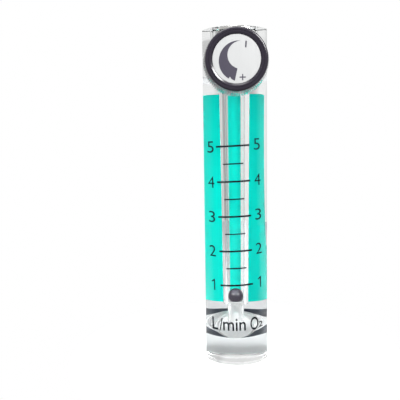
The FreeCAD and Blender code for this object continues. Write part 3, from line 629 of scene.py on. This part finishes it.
def metering_bore():
    """The cutter for the tapered bore, the drilling under it and the stop's and plug's holes."""
    size = sizes()
    stub = size.stub_bore / 2
    seat = size.bore_seat / 2
    wide = size.bore_top / 2
    ledge = (STOP_HIGH[0] - STOP_LOW[0]) / 2 + FIT
    head = (PLUG_HIGH[0] - PLUG_LOW[0]) / 2 + FIT
    thread = 4.8 * MM
    thread_end = PLUG_LOW[2] - FIT
    head_floor = BLOCK_TOP - 2.7 * MM
    top = BLOCK_TOP + OVERCUT
    return turned((
        (0, size.inlet_height), (stub, size.inlet_height), (stub, SEAT_LOW[2]),
        (seat, SEAT_LOW[2]), (seat, SEAT_HIGH[2]), (wide, STOP_LOW[2]),
        (ledge, STOP_LOW[2]), (ledge, thread_end), (thread, thread_end),
        (thread, head_floor), (head, head_floor), (head, top), (0, top)))


def tapped_inlet():
    """The cutter for the inlet: a tapped hole from the back, with the drill's hole past it."""
    size = sizes()
    mouth = -BLOCK_BACK
    root = size.port_thread / 2
    crest = size.port_crest / 2
    drill = crest - 0.35 * MM
    start = mouth + 0.3 * MM
    stop = mouth + size.thread_depth
    bottom = mouth + size.port_depth
    point = bottom + 2.4 * MM
    return turned(
        [(0, mouth - OVERCUT), (root, mouth - OVERCUT), (root, start - 0.1 * MM)]
        + threaded_profile(crest, root, start, stop, size.thread_pitch)
        + [(drill, stop), (drill, bottom), (0, point)],
        steps=128, along="Y", height=size.inlet_height)


def valve_cavity():
    """The cutter for the valve barrel's hole, with the spotface for its hexagon in front."""
    barrel = 7.35 * MM
    spotface = 9.5 * MM
    back = -BLOCK_BACK - OVERCUT
    floor = -BLOCK_FRONT - 4.3 * MM
    front = OVERCUT - BLOCK_FRONT
    return turned(((0, back), (barrel, back), (barrel, floor), (spotface, floor),
                   (spotface, front), (0, front)), along="Y", height=VALVE_HEIGHT)


def build_block():
    """The clear block with its metering bore, its threaded inlet and its valve cavity."""
    piece = block_solid()
    bevel_rims(piece)
    for cutter in (metering_bore, tapped_inlet, valve_cavity):
        carve(piece, cutter())
    finish_piece(piece, "clear_block", "meter", clear_acrylic(),
                 smooth_angle=25)
    frost_ports(piece)
    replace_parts(piece, "acrylic_body")


def frost_ports(piece):
    """Give the walls of the tapped inlet and of the drilling over it their frosted finish."""
    size = sizes()
    margin, rim = 0.05 * MM, 0.01 * MM
    port_reach = size.port_thread / 2 + margin
    drill_reach = size.stub_bore / 2 + margin

    def is_machined(centre):
        """True for a face of the inlet's wall or of the drilling's."""
        in_port = math.hypot(centre.x, centre.z - size.inlet_height) < port_reach
        in_drilling = (math.hypot(centre.x, centre.y) < drill_reach
                       and centre.z < SEAT_LOW[2] - rim)
        return abs(centre.y) < BLOCK_BACK - rim and (in_port or in_drilling)

    pick(piece)
    piece.data.materials.append(machined_acrylic())
    bpy.ops.object.mode_set(mode="EDIT")
    select_faces(piece, is_machined)
    piece.active_material_index = 1
    bpy.ops.object.material_slot_assign()
    start_clean()


def build_film():
    """The backing film, bonded to the block's back, with rounded corners."""
    corner = 0.6 * MM
    low = Vector((FILM_LOW[0], BLOCK_BACK - sizes().film_bite, FILM_LOW[2]))
    high = Vector(FILM_HIGH)
    thinnest = 0.1 * MM
    start_clean()
    bpy.ops.mesh.primitive_cube_add(size=1, location=(low + high) / 2, scale=high - low)
    piece = bpy.context.active_object
    apply_place()
    bpy.ops.object.mode_set(mode="EDIT")
    select_edges(piece, lambda first, second: abs(first.y - second.y) > thinnest)
    bpy.ops.mesh.bevel(offset=corner, segments=5, profile=0.5)
    bpy.ops.object.mode_set(mode="OBJECT")
    finish_piece(piece, "turquoise_film", "meter", film_vinyl())
    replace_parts(piece, "backing_film")


def lay_on_front(piece, block, name):
    """Cut a flat print into narrow strips, wrap it on the rounded front and give it its ink."""
    pick(piece)
    apply_place()
    strip = 0.35 * MM
    left = min(point.co.x for point in piece.data.vertices)
    right = max(point.co.x for point in piece.data.vertices)
    bpy.ops.object.mode_set(mode="EDIT")
    for index in range(1, int((right - left) / strip) + 1):
        bpy.ops.mesh.select_all(action="SELECT")
        bpy.ops.mesh.bisect(plane_co=(left + index * strip, 0, 0), plane_no=(1, 0, 0))
    merge_doubles()
    bpy.ops.object.mode_set(mode="OBJECT")
    add_modifier(piece, "SHRINKWRAP", target=block, wrap_method="PROJECT",
                 use_project_y=True, use_positive_direction=True,
                 use_negative_direction=False, offset=0.0)
    add_modifier(piece, "SOLIDIFY", thickness=sizes().ink, offset=1.0)
    finish_piece(piece, name, "meter", bpy.data.materials["print_ink"])
    return piece


def print_place(across, height):
    """A point of the print's own layout, turned by the print's skew about line 1."""
    size = sizes()
    start = size.scale_start
    turn = size.print_skew
    rise = height - start
    ahead = BLOCK_FRONT - 4 * MM
    return (across * math.cos(turn) - rise * math.sin(turn), ahead,
            start + rise * math.cos(turn) + across * math.sin(turn))


def build_scale_lines(block):
    """The nine lines of the scale, long at whole numbers and short at halves."""
    size = sizes()
    tilt = size.print_skew + size.line_tilt
    long_line, short_line = (12.78 * MM, 0.68 * MM), (7.8 * MM, 0.5 * MM)
    lines = []
    for step in range(9):
        width, stroke = short_line if step % 2 else long_line
        height = size.scale_start + step * size.scale_step / 2
        start_clean()
        bpy.ops.mesh.primitive_plane_add(
            size=1, location=print_place(0, height), rotation=(math.radians(90), -tilt, 0))
        lines.append(bpy.context.active_object)
        lines[-1].scale = (width, stroke, 1)
    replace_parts(lay_on_front(join_all(lines), block, "printed_lines"), "scale_lines")


def join_all(items):
    """Join several objects into one."""
    start_clean()
    for item in items:
        item.select_set(True)
    bpy.context.view_layer.objects.active = items[0]
    bpy.ops.object.join()
    return bpy.context.active_object


def lettering(text, left, base, wide, tall, weight):
    """A flat printed word that fills a box of the print's layout: its left end and base line."""
    start_clean()
    bpy.ops.object.text_add(rotation=(math.radians(90), 0, 0))
    made = bpy.context.active_object
    made.data.body = text
    made.data.size = tall
    made.data.offset = weight
    bpy.ops.object.convert(target="MESH")
    made = bpy.context.active_object
    apply_place()
    points = [point.co for point in made.data.vertices]
    low = Vector((min(p.x for p in points), 0, min(p.z for p in points)))
    high = Vector((max(p.x for p in points), 0, max(p.z for p in points)))
    fit = Matrix.Diagonal((wide / (high.x - low.x), 1, tall / (high.z - low.z), 1))
    made.matrix_world = (Matrix.Translation(print_place(left, base))
                         @ Matrix.Rotation(-sizes().print_skew, 4, "Y")
                         @ fit @ Matrix.Translation(-low))
    apply_place()
    return made


def numeral_one(left, base, tall):
    """The figure 1: a stem with a short flag."""
    stem, flag = 0.42 * MM, 0.85 * MM
    outline = ((flag, 0), (flag + stem, 0), (flag + stem, tall), (flag + 0.3 * stem, tall),
               (0, tall - flag), (0, tall - flag - 0.9 * stem), (flag, tall - 1.9 * stem))
    points = [print_place(left + across, base + up) for across, up in outline]
    piece = filled_outline(points)
    bpy.ops.object.mode_set(mode="OBJECT")
    if piece.data.polygons[0].normal.y > 0:
        bpy.ops.object.mode_set(mode="EDIT")
        bpy.ops.mesh.flip_normals()
        bpy.ops.object.mode_set(mode="OBJECT")
    return piece


def build_numbers(block):
    """The numbers 1 to 5 in a column on each side of the scale."""
    size = sizes()
    wide = 2.4 * MM
    one_half = 0.64 * MM
    # Each column's middle, its lean to the right from number to number, both in millimetres,
    # and how far its numbers' base lines lie below the scale's lines
    columns = ((-9.2, 0.17, 2.35 * MM), (9.12, 0.05, 1.8 * MM))
    made = []
    for step in range(5):
        height = size.scale_start + step * size.scale_step
        for start, lean, drop in columns:
            middle = (start + lean * step) * MM
            if step == 0:
                made.append(numeral_one(middle - one_half, height - drop, size.numeral_height))
            else:
                made.append(lettering(str(step + 1), middle - wide / 2, height - drop, wide,
                                      size.numeral_height, size.numeral_weight))
    lay_on_front(join_all(made), block, "printed_numbers")


def build_unit_mark(block):
    """The unit under the scale: litres a minute, with the gas's symbol."""
    # Text, left end, base line, width and height, in millimetres
    words = (("L", -10.2, 14.2, 2.3, 5.0), ("/", -7.4, 14.1, 1.4, 5.3),
             ("min", -5.95, 14.3, 9.0, 5.0), ("O", 4.95, 14.0, 3.25, 5.3),
             ("2", 8.5, 14.5, 1.5, 2.4))
    made = [lettering(text, left * MM, base * MM, wide * MM, tall * MM, sizes().letter_weight)
            for text, left, base, wide, tall in words]
    lay_on_front(join_all(made), block, "printed_unit")


def build_ball():
    """The float: a cube divided and drawn out to a ball."""
    centre = (Vector(BALL_LOW) + Vector(BALL_HIGH)) / 2
    radius = (BALL_HIGH[2] - BALL_LOW[2]) / 2
    cuts = 23
    start_clean()
    bpy.ops.mesh.primitive_cube_add(size=2 * radius)
    piece = bpy.context.active_object
    bpy.ops.object.mode_set(mode="EDIT")
    bpy.ops.mesh.select_all(action="SELECT")
    bpy.ops.mesh.subdivide(number_cuts=cuts)
    bpy.ops.transform.tosphere(value=1.0)
    bpy.ops.object.mode_set(mode="OBJECT")
    reach = max(point.co.length for point in piece.data.vertices)
    piece.scale = (radius / reach,) * 3
    piece.location = centre
    finish_piece(piece, "float_sphere", "float", ball_glass(),
                 smooth_angle=60)
    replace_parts(piece, "float_ball")


def build_knob():
    """The knob's black shell, with its rounded rim, its web, its hub and the ribs between them."""
    rim = (KNOB_HIGH[0] - KNOB_LOW[0]) / 2
    disc = (DISC_HIGH[0] - DISC_LOW[0]) / 2
    front = -RIM_FRONT
    skirt_front = -SKIRT_FRONT
    rear = -KNOB_HIGH[1]
    floor = -DISC_HIGH[1]
    shell = 10.4 * MM
    shell_rear = rear + 0.4 * MM
    cavity = 9.2 * MM
    web = floor - 2.2 * MM
    hub = 5.5 * MM
    bush = 4.5 * MM
    socket = web + 1.1 * MM
    edge = 0.75 * MM
    recess = disc + FIT
    recess_edge = front - 0.3 * MM
    groove = rim - 1.15 * MM
    lip = recess + 0.65 * MM
    fine = 0.12 * MM
    profile = [(0, socket), (bush, socket), (bush, rear), (hub, rear), (hub, web), (cavity, web),
               (cavity, shell_rear), (shell, shell_rear), (shell, skirt_front),
               (rim, skirt_front)]
    profile += round_corner((rim - edge, front - edge), edge, first=0, last=90, steps=8)
    profile += [(groove, front), (groove - fine, front - fine), (groove - 2 * fine, front - fine),
                (groove - 3 * fine, front), (lip, front), (lip - fine, front - 0.5 * fine),
                (recess, recess_edge), (recess, floor), (0, floor)]
    piece = turned(profile, along="Y", height=VALVE_HEIGHT)

    rib_count = 6
    rib_low = rear + 3.0 * MM
    rib_middle = (hub + cavity) / 2
    rib_size = (cavity - hub + 0.8 * MM, web - rib_low + 0.2 * MM, 1.0 * MM)
    for turn in range(rib_count):
        angle = turn * FULL_TURN / rib_count
        start_clean()
        bpy.ops.mesh.primitive_cube_add(
            size=1, rotation=(0, angle, 0),
            location=(rib_middle * math.cos(angle), -(rib_low + web) / 2,
                      VALVE_HEIGHT - rib_middle * math.sin(angle)))
        rib = bpy.context.active_object
        rib.scale = rib_size
        apply_place()
        fuse(piece, rib)
    screw_hole = 1.53 * MM
    carve(piece, screw_way(screw_hole))
    finish_piece(piece, "knob_shell", "knob",
                 moulded_plastic("knob_black", colours().knob, roughness=0.17))
    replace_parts(piece, "knob_body")


def screw_way(radius):
    """A round bar that stands for the set screw's hole, from the knob's axis upwards."""
    screw_low, screw_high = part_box("set_screw")
    station = (screw_low[1] + screw_high[1]) / 2
    length = SKIRT_HIGH[0] + OVERCUT
    start_clean()
    bpy.ops.mesh.primitive_cylinder_add(
        vertices=48, radius=radius, depth=length,
        location=(0, station, VALVE_HEIGHT + length / 2))
    return bpy.context.active_object


def skirt_tooth(step, wide, narrow):
    """One tooth of the knurl, from the groove before it to the one after, bevelled at both ends."""
    rear = -SKIRT_REAR
    front = -SKIRT_FRONT
    inner = 10.42 * MM
    bevel = 0.5 * MM
    depth = sizes().knurl_depth
    crest = 0.16 * step
    stations = ((rear, wide - bevel, 0.0), (rear + bevel, wide, depth),
                (front - bevel, narrow, depth), (front, narrow - bevel, 0.0),
                (front, inner, 0.0), (rear, inner, 0.0))

    def tooth_point(radius, station, turn):
        """A point of the tooth, at a turn about the valve's axis."""
        return Vector((radius * math.sin(turn), -station, VALVE_HEIGHT + radius * math.cos(turn)))

    rings = [[tooth_point(radius - groove, station, -step / 2),
              tooth_point(radius, station, -crest), tooth_point(radius, station, crest),
              tooth_point(radius - groove, station, step / 2)]
             for station, radius, groove in stations]
    piece = chain_profile(rings[0])
    for following in rings[1:] + rings[:1]:
        bpy.ops.mesh.select_all(action="DESELECT")
        bpy.ops.object.mode_set(mode="OBJECT")
        for point in piece.data.vertices[-4:]:
            point.select = True
        bpy.ops.object.mode_set(mode="EDIT")
        bpy.ops.mesh.select_mode(type="EDGE")
        bpy.ops.mesh.select_mode(type="VERT")
        bpy.ops.mesh.extrude_region_move(TRANSFORM_OT_translate={"value": (0, 0, 0)})
        bpy.ops.object.mode_set(mode="OBJECT")
        for point, place in zip(piece.data.vertices[-4:], following):
            point.co = place
        bpy.ops.object.mode_set(mode="EDIT")
    merge_doubles()
    bpy.ops.object.mode_set(mode="OBJECT")
    return piece


def build_skirt():
    """The knob's metal skirt: one tooth repeated round a cone."""
    count = sizes().knurl_count
    step = FULL_TURN / count
    wide = (SKIRT_HIGH[0] - SKIRT_LOW[0]) / 2
    narrow = wide - 0.5 * MM
    weld = WELD * 5
    piece = skirt_tooth(step, wide, narrow)

    bpy.ops.object.empty_add(location=(0, 0, 0))
    pivot = bpy.context.active_object
    pivot.matrix_world = (Matrix.Translation((0, 0, VALVE_HEIGHT)) @ Matrix.Rotation(step, 4, "Y")
                          @ Matrix.Translation((0, 0, -VALVE_HEIGHT)))
    bpy.context.view_layer.update()
    add_modifier(piece, "ARRAY", count=count, use_relative_offset=False,
                 use_object_offset=True, offset_object=pivot, use_merge_vertices=True,
                 use_merge_vertices_cap=True, merge_threshold=weld)
    bpy.data.objects.remove(pivot)
    pick(piece)
    bpy.ops.object.mode_set(mode="EDIT")
    merge_doubles(weld)
    bpy.ops.mesh.normals_make_consistent(inside=False)
    bpy.ops.object.mode_set(mode="OBJECT")
    screw_hole = 1.55 * MM
    carve(piece, screw_way(screw_hole))
    finish_piece(piece, "knurled_skirt", "knob", skirt_metal(wide, narrow),
                 smooth_angle=12)
    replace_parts(piece, "knob_skirt")


def build_disc():
    """The disc in the knob's front, with a fine bevel."""
    radius = (DISC_HIGH[0] - DISC_LOW[0]) / 2
    floor = -DISC_HIGH[1]
    front = -DISC_LOW[1]
    bevel = 0.12 * MM
    piece = turned(((0, floor), (radius, floor), (radius, front - bevel),
                    (radius - bevel, front), (0, front)), along="Y", height=VALVE_HEIGHT)
    finish_piece(piece, "silver_disc", "knob", satin_disc())
    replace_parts(piece, "knob_disc")


def flat_shape(points, station, thickness):
    """A thin flat shape on a station of the knob, from points in millimetres across and up."""
    places = [(across * MM, -station, VALVE_HEIGHT + up * MM) for across, up in points]
    piece = filled_outline(places)
    bpy.ops.mesh.extrude_region_move(TRANSFORM_OT_translate={"value": (0, -thickness, 0)})
    bpy.ops.mesh.select_all(action="SELECT")
    bpy.ops.mesh.normals_make_consistent(inside=False)
    bpy.ops.object.mode_set(mode="OBJECT")
    return piece


def build_turning_mark():
    """The printed mark on the disc: a wedge that swells along an arc, a minus and a plus."""
    sunk = 0.01 * MM
    thickness = 0.03 * MM
    # Millimetres from the knob's axis, across and up
    wedge = round_corner((0.7, -0.7), 6.95, first=85.4, last=239, steps=40)
    wedge += [(-2.35, -6.0), (-1.9, -6.8), (-0.7, -7.5)]
    wedge += round_corner((1.6, 1.4), 4.8, first=253.6, last=95, steps=32)
    arm, half = 1.1, 0.2
    plus = ((-arm, -half), (-half, -half), (-half, -arm), (half, -arm), (half, -half), (arm, -half),
            (arm, half), (half, half), (half, arm), (-half, arm), (-half, half), (-arm, half))
    plus = [(2.05 + across, -6.25 + up) for across, up in plus]
    minus = ((2.9, 3.85), (3.4, 3.85), (3.55, 6.05), (3.05, 6.05))
    piece = join_all([flat_shape(points, -DISC_LOW[1] - sunk, thickness)
                      for points in (wedge, plus, minus)])
    finish_piece(piece, "turning_mark", "knob",
                 moulded_plastic("mark_ink", colours().mark, roughness=0.5, grain=1800))


def oval_slab(width, height, low, high):
    """An upright oval plate at the inlet's height, between two stations along Y."""
    start_clean()
    bpy.ops.mesh.primitive_cylinder_add(
        vertices=128, radius=0.5, depth=1, rotation=(math.radians(90), 0, 0),
        location=(0, (low + high) / 2, sizes().inlet_height))
    piece = bpy.context.active_object
    bpy.ops.object.transform_apply(location=False, rotation=True, scale=False)
    piece.scale = (width, high - low, height)
    bpy.ops.object.transform_apply(location=True, rotation=False, scale=True)
    return piece


def build_inlet_gasket():
    """The oval gasket bonded to the block's back round the inlet."""
    size = sizes()
    low, high = BLOCK_BACK - size.film_bite, FILM_HIGH[1]
    piece = oval_slab(size.gasket_width, size.gasket_height, low, high)
    carve(piece, oval_slab(size.gasket_hole_width, size.gasket_hole_height,
                           low - OVERCUT, high + OVERCUT))
    finish_piece(piece, "inlet_gasket", "meter",
                 rubber("blue_black_rubber", (0.03, 0.042, 0.06), roughness=0.5))


def dress_frame():
    """Give the frame's own pieces their finishes."""
    plate = (0.66, 0.64, 0.61)
    nickel = turned_metal("nickel_plate", plate, roughness=0.22)
    upright = turned_metal("nickel_upright", plate, roughness=0.22, along="Z")
    steel = turned_metal("stainless_steel", (0.6, 0.6, 0.59), roughness=0.24)
    brass = turned_metal("bush_brass", (0.8, 0.6, 0.28), roughness=0.25)
    seal = rubber("seal_rubber", (0.012, 0.012, 0.013), roughness=0.55)
    white = moulded_plastic("white_acetal", (0.82, 0.83, 0.83), roughness=0.4)
    finishes = {
        "valve_body": nickel, "bore_plug": upright, "valve_stem": steel, "stem_clip": steel,
        "set_screw": steel, "knob_bush": brass, "plug_ring": seal, "front_body_ring": seal,
        "rear_body_ring": seal, "stem_ring": seal, "ball_seat": white, "float_stop": white,
    }
    for node, finish in finishes.items():
        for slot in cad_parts[node].material_slots:
            slot.material = finish


# Stage

def floor_paper():
    """Paper with painted shade and a painted shadow of the meter in tones from dark to pale; the
    camera sees white, and a soft shadow by the meter.
    """
    made, paper = new_material("floor_paper", (0.5, 0.5, 0.5), roughness=0.9)
    paper.inputs["Specular IOR Level"].default_value = 0.0
    tree = made.node_tree
    links = tree.links
    space = pattern_space(tree)
    place = split_axes(tree, space)
    # Painted shade: dark in front of the meter and grey far to the left
    rear = map_range(tree, place["Y"], -0.035, 0.0, 0.0, 1.0)
    left = map_range(tree, place["X"], -0.2, -0.1, 0.47, 1.0)
    # A painted shadow of the meter: a grey band close behind it, which shows in its clear base and
    # ends on the right
    near = map_range(tree, place["Y"], 0.035, 0.055, 1.0, 0.65)
    far = map_range(tree, place["Y"], 0.08, 0.11, 0.0, 1.0)
    right = map_range(tree, place["X"], 0.04, 0.08, 0.0, 1.0)
    painted_shadow_band = combine(tree, "MAXIMUM", near, far, right)
    vary_colour(tree, paper, combine(tree, "MULTIPLY", rear, left, painted_shadow_band),
                (0.05, 0.05, 0.055), (0.5, 0.51, 0.52))
    grain = noise(tree, space, scale=300, detail=3)
    bump(tree, paper, grain, strength=0.05, distance=0.05 * MM)

    seen = tree.nodes.new("ShaderNodeBsdfDiffuse")
    seen.inputs["Color"].default_value = (0.85, 0.85, 0.85, 1)
    white = tree.nodes.new("ShaderNodeEmission")
    white.inputs["Strength"].default_value = 1.0
    fade = map_range(tree, radius_of(tree, space), 0.015, 0.07, 0.5, 1.0)
    shadowed = tree.nodes.new("ShaderNodeMixShader")
    links.new(fade, shadowed.inputs["Fac"])
    links.new(seen.outputs["BSDF"], shadowed.inputs[1])
    links.new(white.outputs["Emission"], shadowed.inputs[2])
    path = tree.nodes.new("ShaderNodeLightPath")
    chosen = tree.nodes.new("ShaderNodeMixShader")
    links.new(path.outputs["Is Camera Ray"], chosen.inputs["Fac"])
    links.new(paper.outputs["BSDF"], chosen.inputs[1])
    links.new(shadowed.outputs["Shader"], chosen.inputs[2])
    links.new(chosen.outputs["Shader"], tree.nodes["Material Output"].inputs["Surface"])
    return made


def build_floor():
    """A round pale floor, plain white to the camera away from the meter's shadow."""
    below = -0.02 * MM
    start_clean()
    bpy.ops.mesh.primitive_circle_add(
        vertices=128, radius=0.35, fill_type="NGON", location=(0, 0, below))
    floor = bpy.context.active_object
    floor.name = "pale_floor"
    floor.data.materials.append(floor_paper())


def build_world():
    """Studio surroundings, white to the camera and in tones by direction to every other ray."""
    world = bpy.data.worlds.new("studio")
    bpy.context.scene.world = world
    world.use_nodes = True
    tree = world.node_tree
    backdrop = tree.nodes["Background"]
    backdrop.inputs["Color"].default_value = (1, 1, 1, 1)
    place = tree.nodes.new("ShaderNodeTexCoord")
    way = split_axes(tree, place.outputs["Generated"])
    # Grey on the far left, nearly black in front
    left = map_range(tree, way["X"], -0.9, -0.55, 0.45, 1.0)
    front = map_range(tree, way["Y"], -0.3, 0.05, 0.06, 1.0)
    # Pale all round, but for a grey patch straight behind that ends a little above the horizon
    patch = map_range(tree, way["Y"], 0.93, 0.975, 0.9, 0.5)
    over_patch = map_range(tree, way["Z"], 0.08, 0.18, 0.0, 0.9)
    behind = combine(tree, "MAXIMUM", patch, over_patch)
    # A touch darker from there up, and more so on the right
    above = map_range(tree, way["Z"], 0.08, 0.18, 1.0, 0.87)
    shade = map_range(tree, way["X"], 0.25, 0.35, 1.0, 0.75)
    under_shade = map_range(tree, way["Z"], 0.12, 0.18, 1.0, 0.0)
    right = combine(tree, "MAXIMUM", shade, under_shade)
    strength = combine(tree, "MULTIPLY", left, right, front, behind, above)
    path = tree.nodes.new("ShaderNodeLightPath")
    seen = tree.nodes.new("ShaderNodeMix")
    seen.inputs["B"].default_value = 1.0
    tree.links.new(path.outputs["Is Camera Ray"], seen.inputs["Factor"])
    tree.links.new(strength, seen.inputs["A"])
    tree.links.new(seen.outputs["Result"], backdrop.inputs["Strength"])


def add_lamp(name, place, size, power):
    """A round soft lamp aimed at the middle of the meter."""
    start_clean()
    place = Vector(place)
    bpy.ops.object.light_add(type="AREA", location=place)
    lamp = bpy.context.active_object
    lamp.name = name
    lamp.data.shape = "DISK"
    lamp.data.size = size
    lamp.data.energy = power
    aim = Vector((0, 0, 0.07)) - place
    lamp.rotation_euler = aim.to_track_quat("-Z", "Y").to_euler()
    return lamp


def build_lamps():
    """A key lamp high on the right in front, a fill on the left and a broad one overhead."""
    add_lamp("key_lamp", (0.45, -0.6, 0.55), size=0.4, power=12.0)
    add_lamp("top_lamp", (-0.1, -0.3, 1.1), size=0.9, power=10.0)
    fill = add_lamp("fill_lamp", (-0.5, -0.6, 0.5), size=0.4, power=12.0)
    fill.visible_glossy = False


def build_camera():
    """The camera, a little left of the meter and below the height of its knob."""
    place = Vector((-7.0, -215.8, 90.1)) * MM
    aim = Vector((-14.5, 0.0, 65.1)) * MM
    roll = math.radians(-0.86)
    focal_pixels, picture_pixels = 525.0, 400.0
    data = bpy.data.cameras.new("photo_camera")
    data.sensor_width = 36.0
    data.lens = data.sensor_width * focal_pixels / picture_pixels
    data.clip_start = 0.01
    camera = bpy.data.objects.new("photo_camera", data)
    bpy.context.scene.collection.objects.link(camera)
    turn = (aim - place).to_track_quat("-Z", "Y").to_matrix().to_4x4()
    camera.matrix_world = Matrix.Translation(place) @ turn @ Matrix.Rotation(roll, 4, "Z")
    bpy.context.scene.camera = camera


class FLOWMETER_OT_block(bpy.types.Operator):
    """Build the clear block, its backing film and the inlet's gasket"""

    bl_idname = "flowmeter.block"
    bl_label = "Block and film"

    def execute(self, context):
        build_block()
        build_film()
        build_inlet_gasket()
        return {"FINISHED"}


class FLOWMETER_OT_print(bpy.types.Operator):
    """Print the scale on the block"""

    bl_idname = "flowmeter.print"
    bl_label = "Printed scale"

    def execute(self, context):
        block = bpy.data.objects["clear_block"]
        print_ink()
        build_scale_lines(block)
        build_numbers(block)
        build_unit_mark(block)
        return {"FINISHED"}


class FLOWMETER_OT_float(bpy.types.Operator):
    """Build the ball float"""

    bl_idname = "flowmeter.float"
    bl_label = "Float"

    def execute(self, context):
        build_ball()
        return {"FINISHED"}


class FLOWMETER_OT_knob(bpy.types.Operator):
    """Build the knob"""

    bl_idname = "flowmeter.knob"
    bl_label = "Knob"

    def execute(self, context):
        build_knob()
        build_skirt()
        build_disc()
        build_turning_mark()
        return {"FINISHED"}


class FLOWMETER_OT_frame(bpy.types.Operator):
    """Give the frame's own pieces their finishes"""

    bl_idname = "flowmeter.frame"
    bl_label = "Frame finishes"

    def execute(self, context):
        dress_frame()
        return {"FINISHED"}


class FLOWMETER_OT_stage(bpy.types.Operator):
    """Set up the floor, the light and the camera"""

    bl_idname = "flowmeter.stage"
    bl_label = "Stage"

    def execute(self, context):
        build_floor()
        build_world()
        build_lamps()
        build_camera()
        context.scene.view_settings.view_transform = "Standard"
        return {"FINISHED"}


OPERATORS = (FLOWMETER_OT_block, FLOWMETER_OT_print, FLOWMETER_OT_float, FLOWMETER_OT_knob,
             FLOWMETER_OT_frame, FLOWMETER_OT_stage)


class FLOWMETER_PT_panel(bpy.types.Panel):
    """Buttons for the flowmeter's pieces"""

    bl_idname = "FLOWMETER_PT_panel"
    bl_label = "Oxygen flowmeter"
    bl_space_type = "VIEW_3D"
    bl_region_type = "UI"
    bl_category = "Flowmeter"

    def draw(self, context):
        for operator in OPERATORS:
            self.layout.operator(operator.bl_idname)


CLASSES = (FlowmeterSizes, FlowmeterColours, *OPERATORS, FLOWMETER_PT_panel)


def register():
    """Register the classes and attach the settings to the scene."""
    for item in CLASSES:
        bpy.utils.register_class(item)
    bpy.types.Scene.flowmeter_sizes = PointerProperty(type=FlowmeterSizes)
    bpy.types.Scene.flowmeter_colours = PointerProperty(type=FlowmeterColours)


def unregister():
    """Remove the settings and the classes."""
    del bpy.types.Scene.flowmeter_colours
    del bpy.types.Scene.flowmeter_sizes
    for item in reversed(CLASSES):
        bpy.utils.unregister_class(item)


def main():
    """Build every piece and the stage."""
    register()
    bpy.ops.flowmeter.block()
    bpy.ops.flowmeter.print()
    bpy.ops.flowmeter.float()
    bpy.ops.flowmeter.knob()
    bpy.ops.flowmeter.frame()
    bpy.ops.flowmeter.stage()


if __name__ == "__main__":
    main()
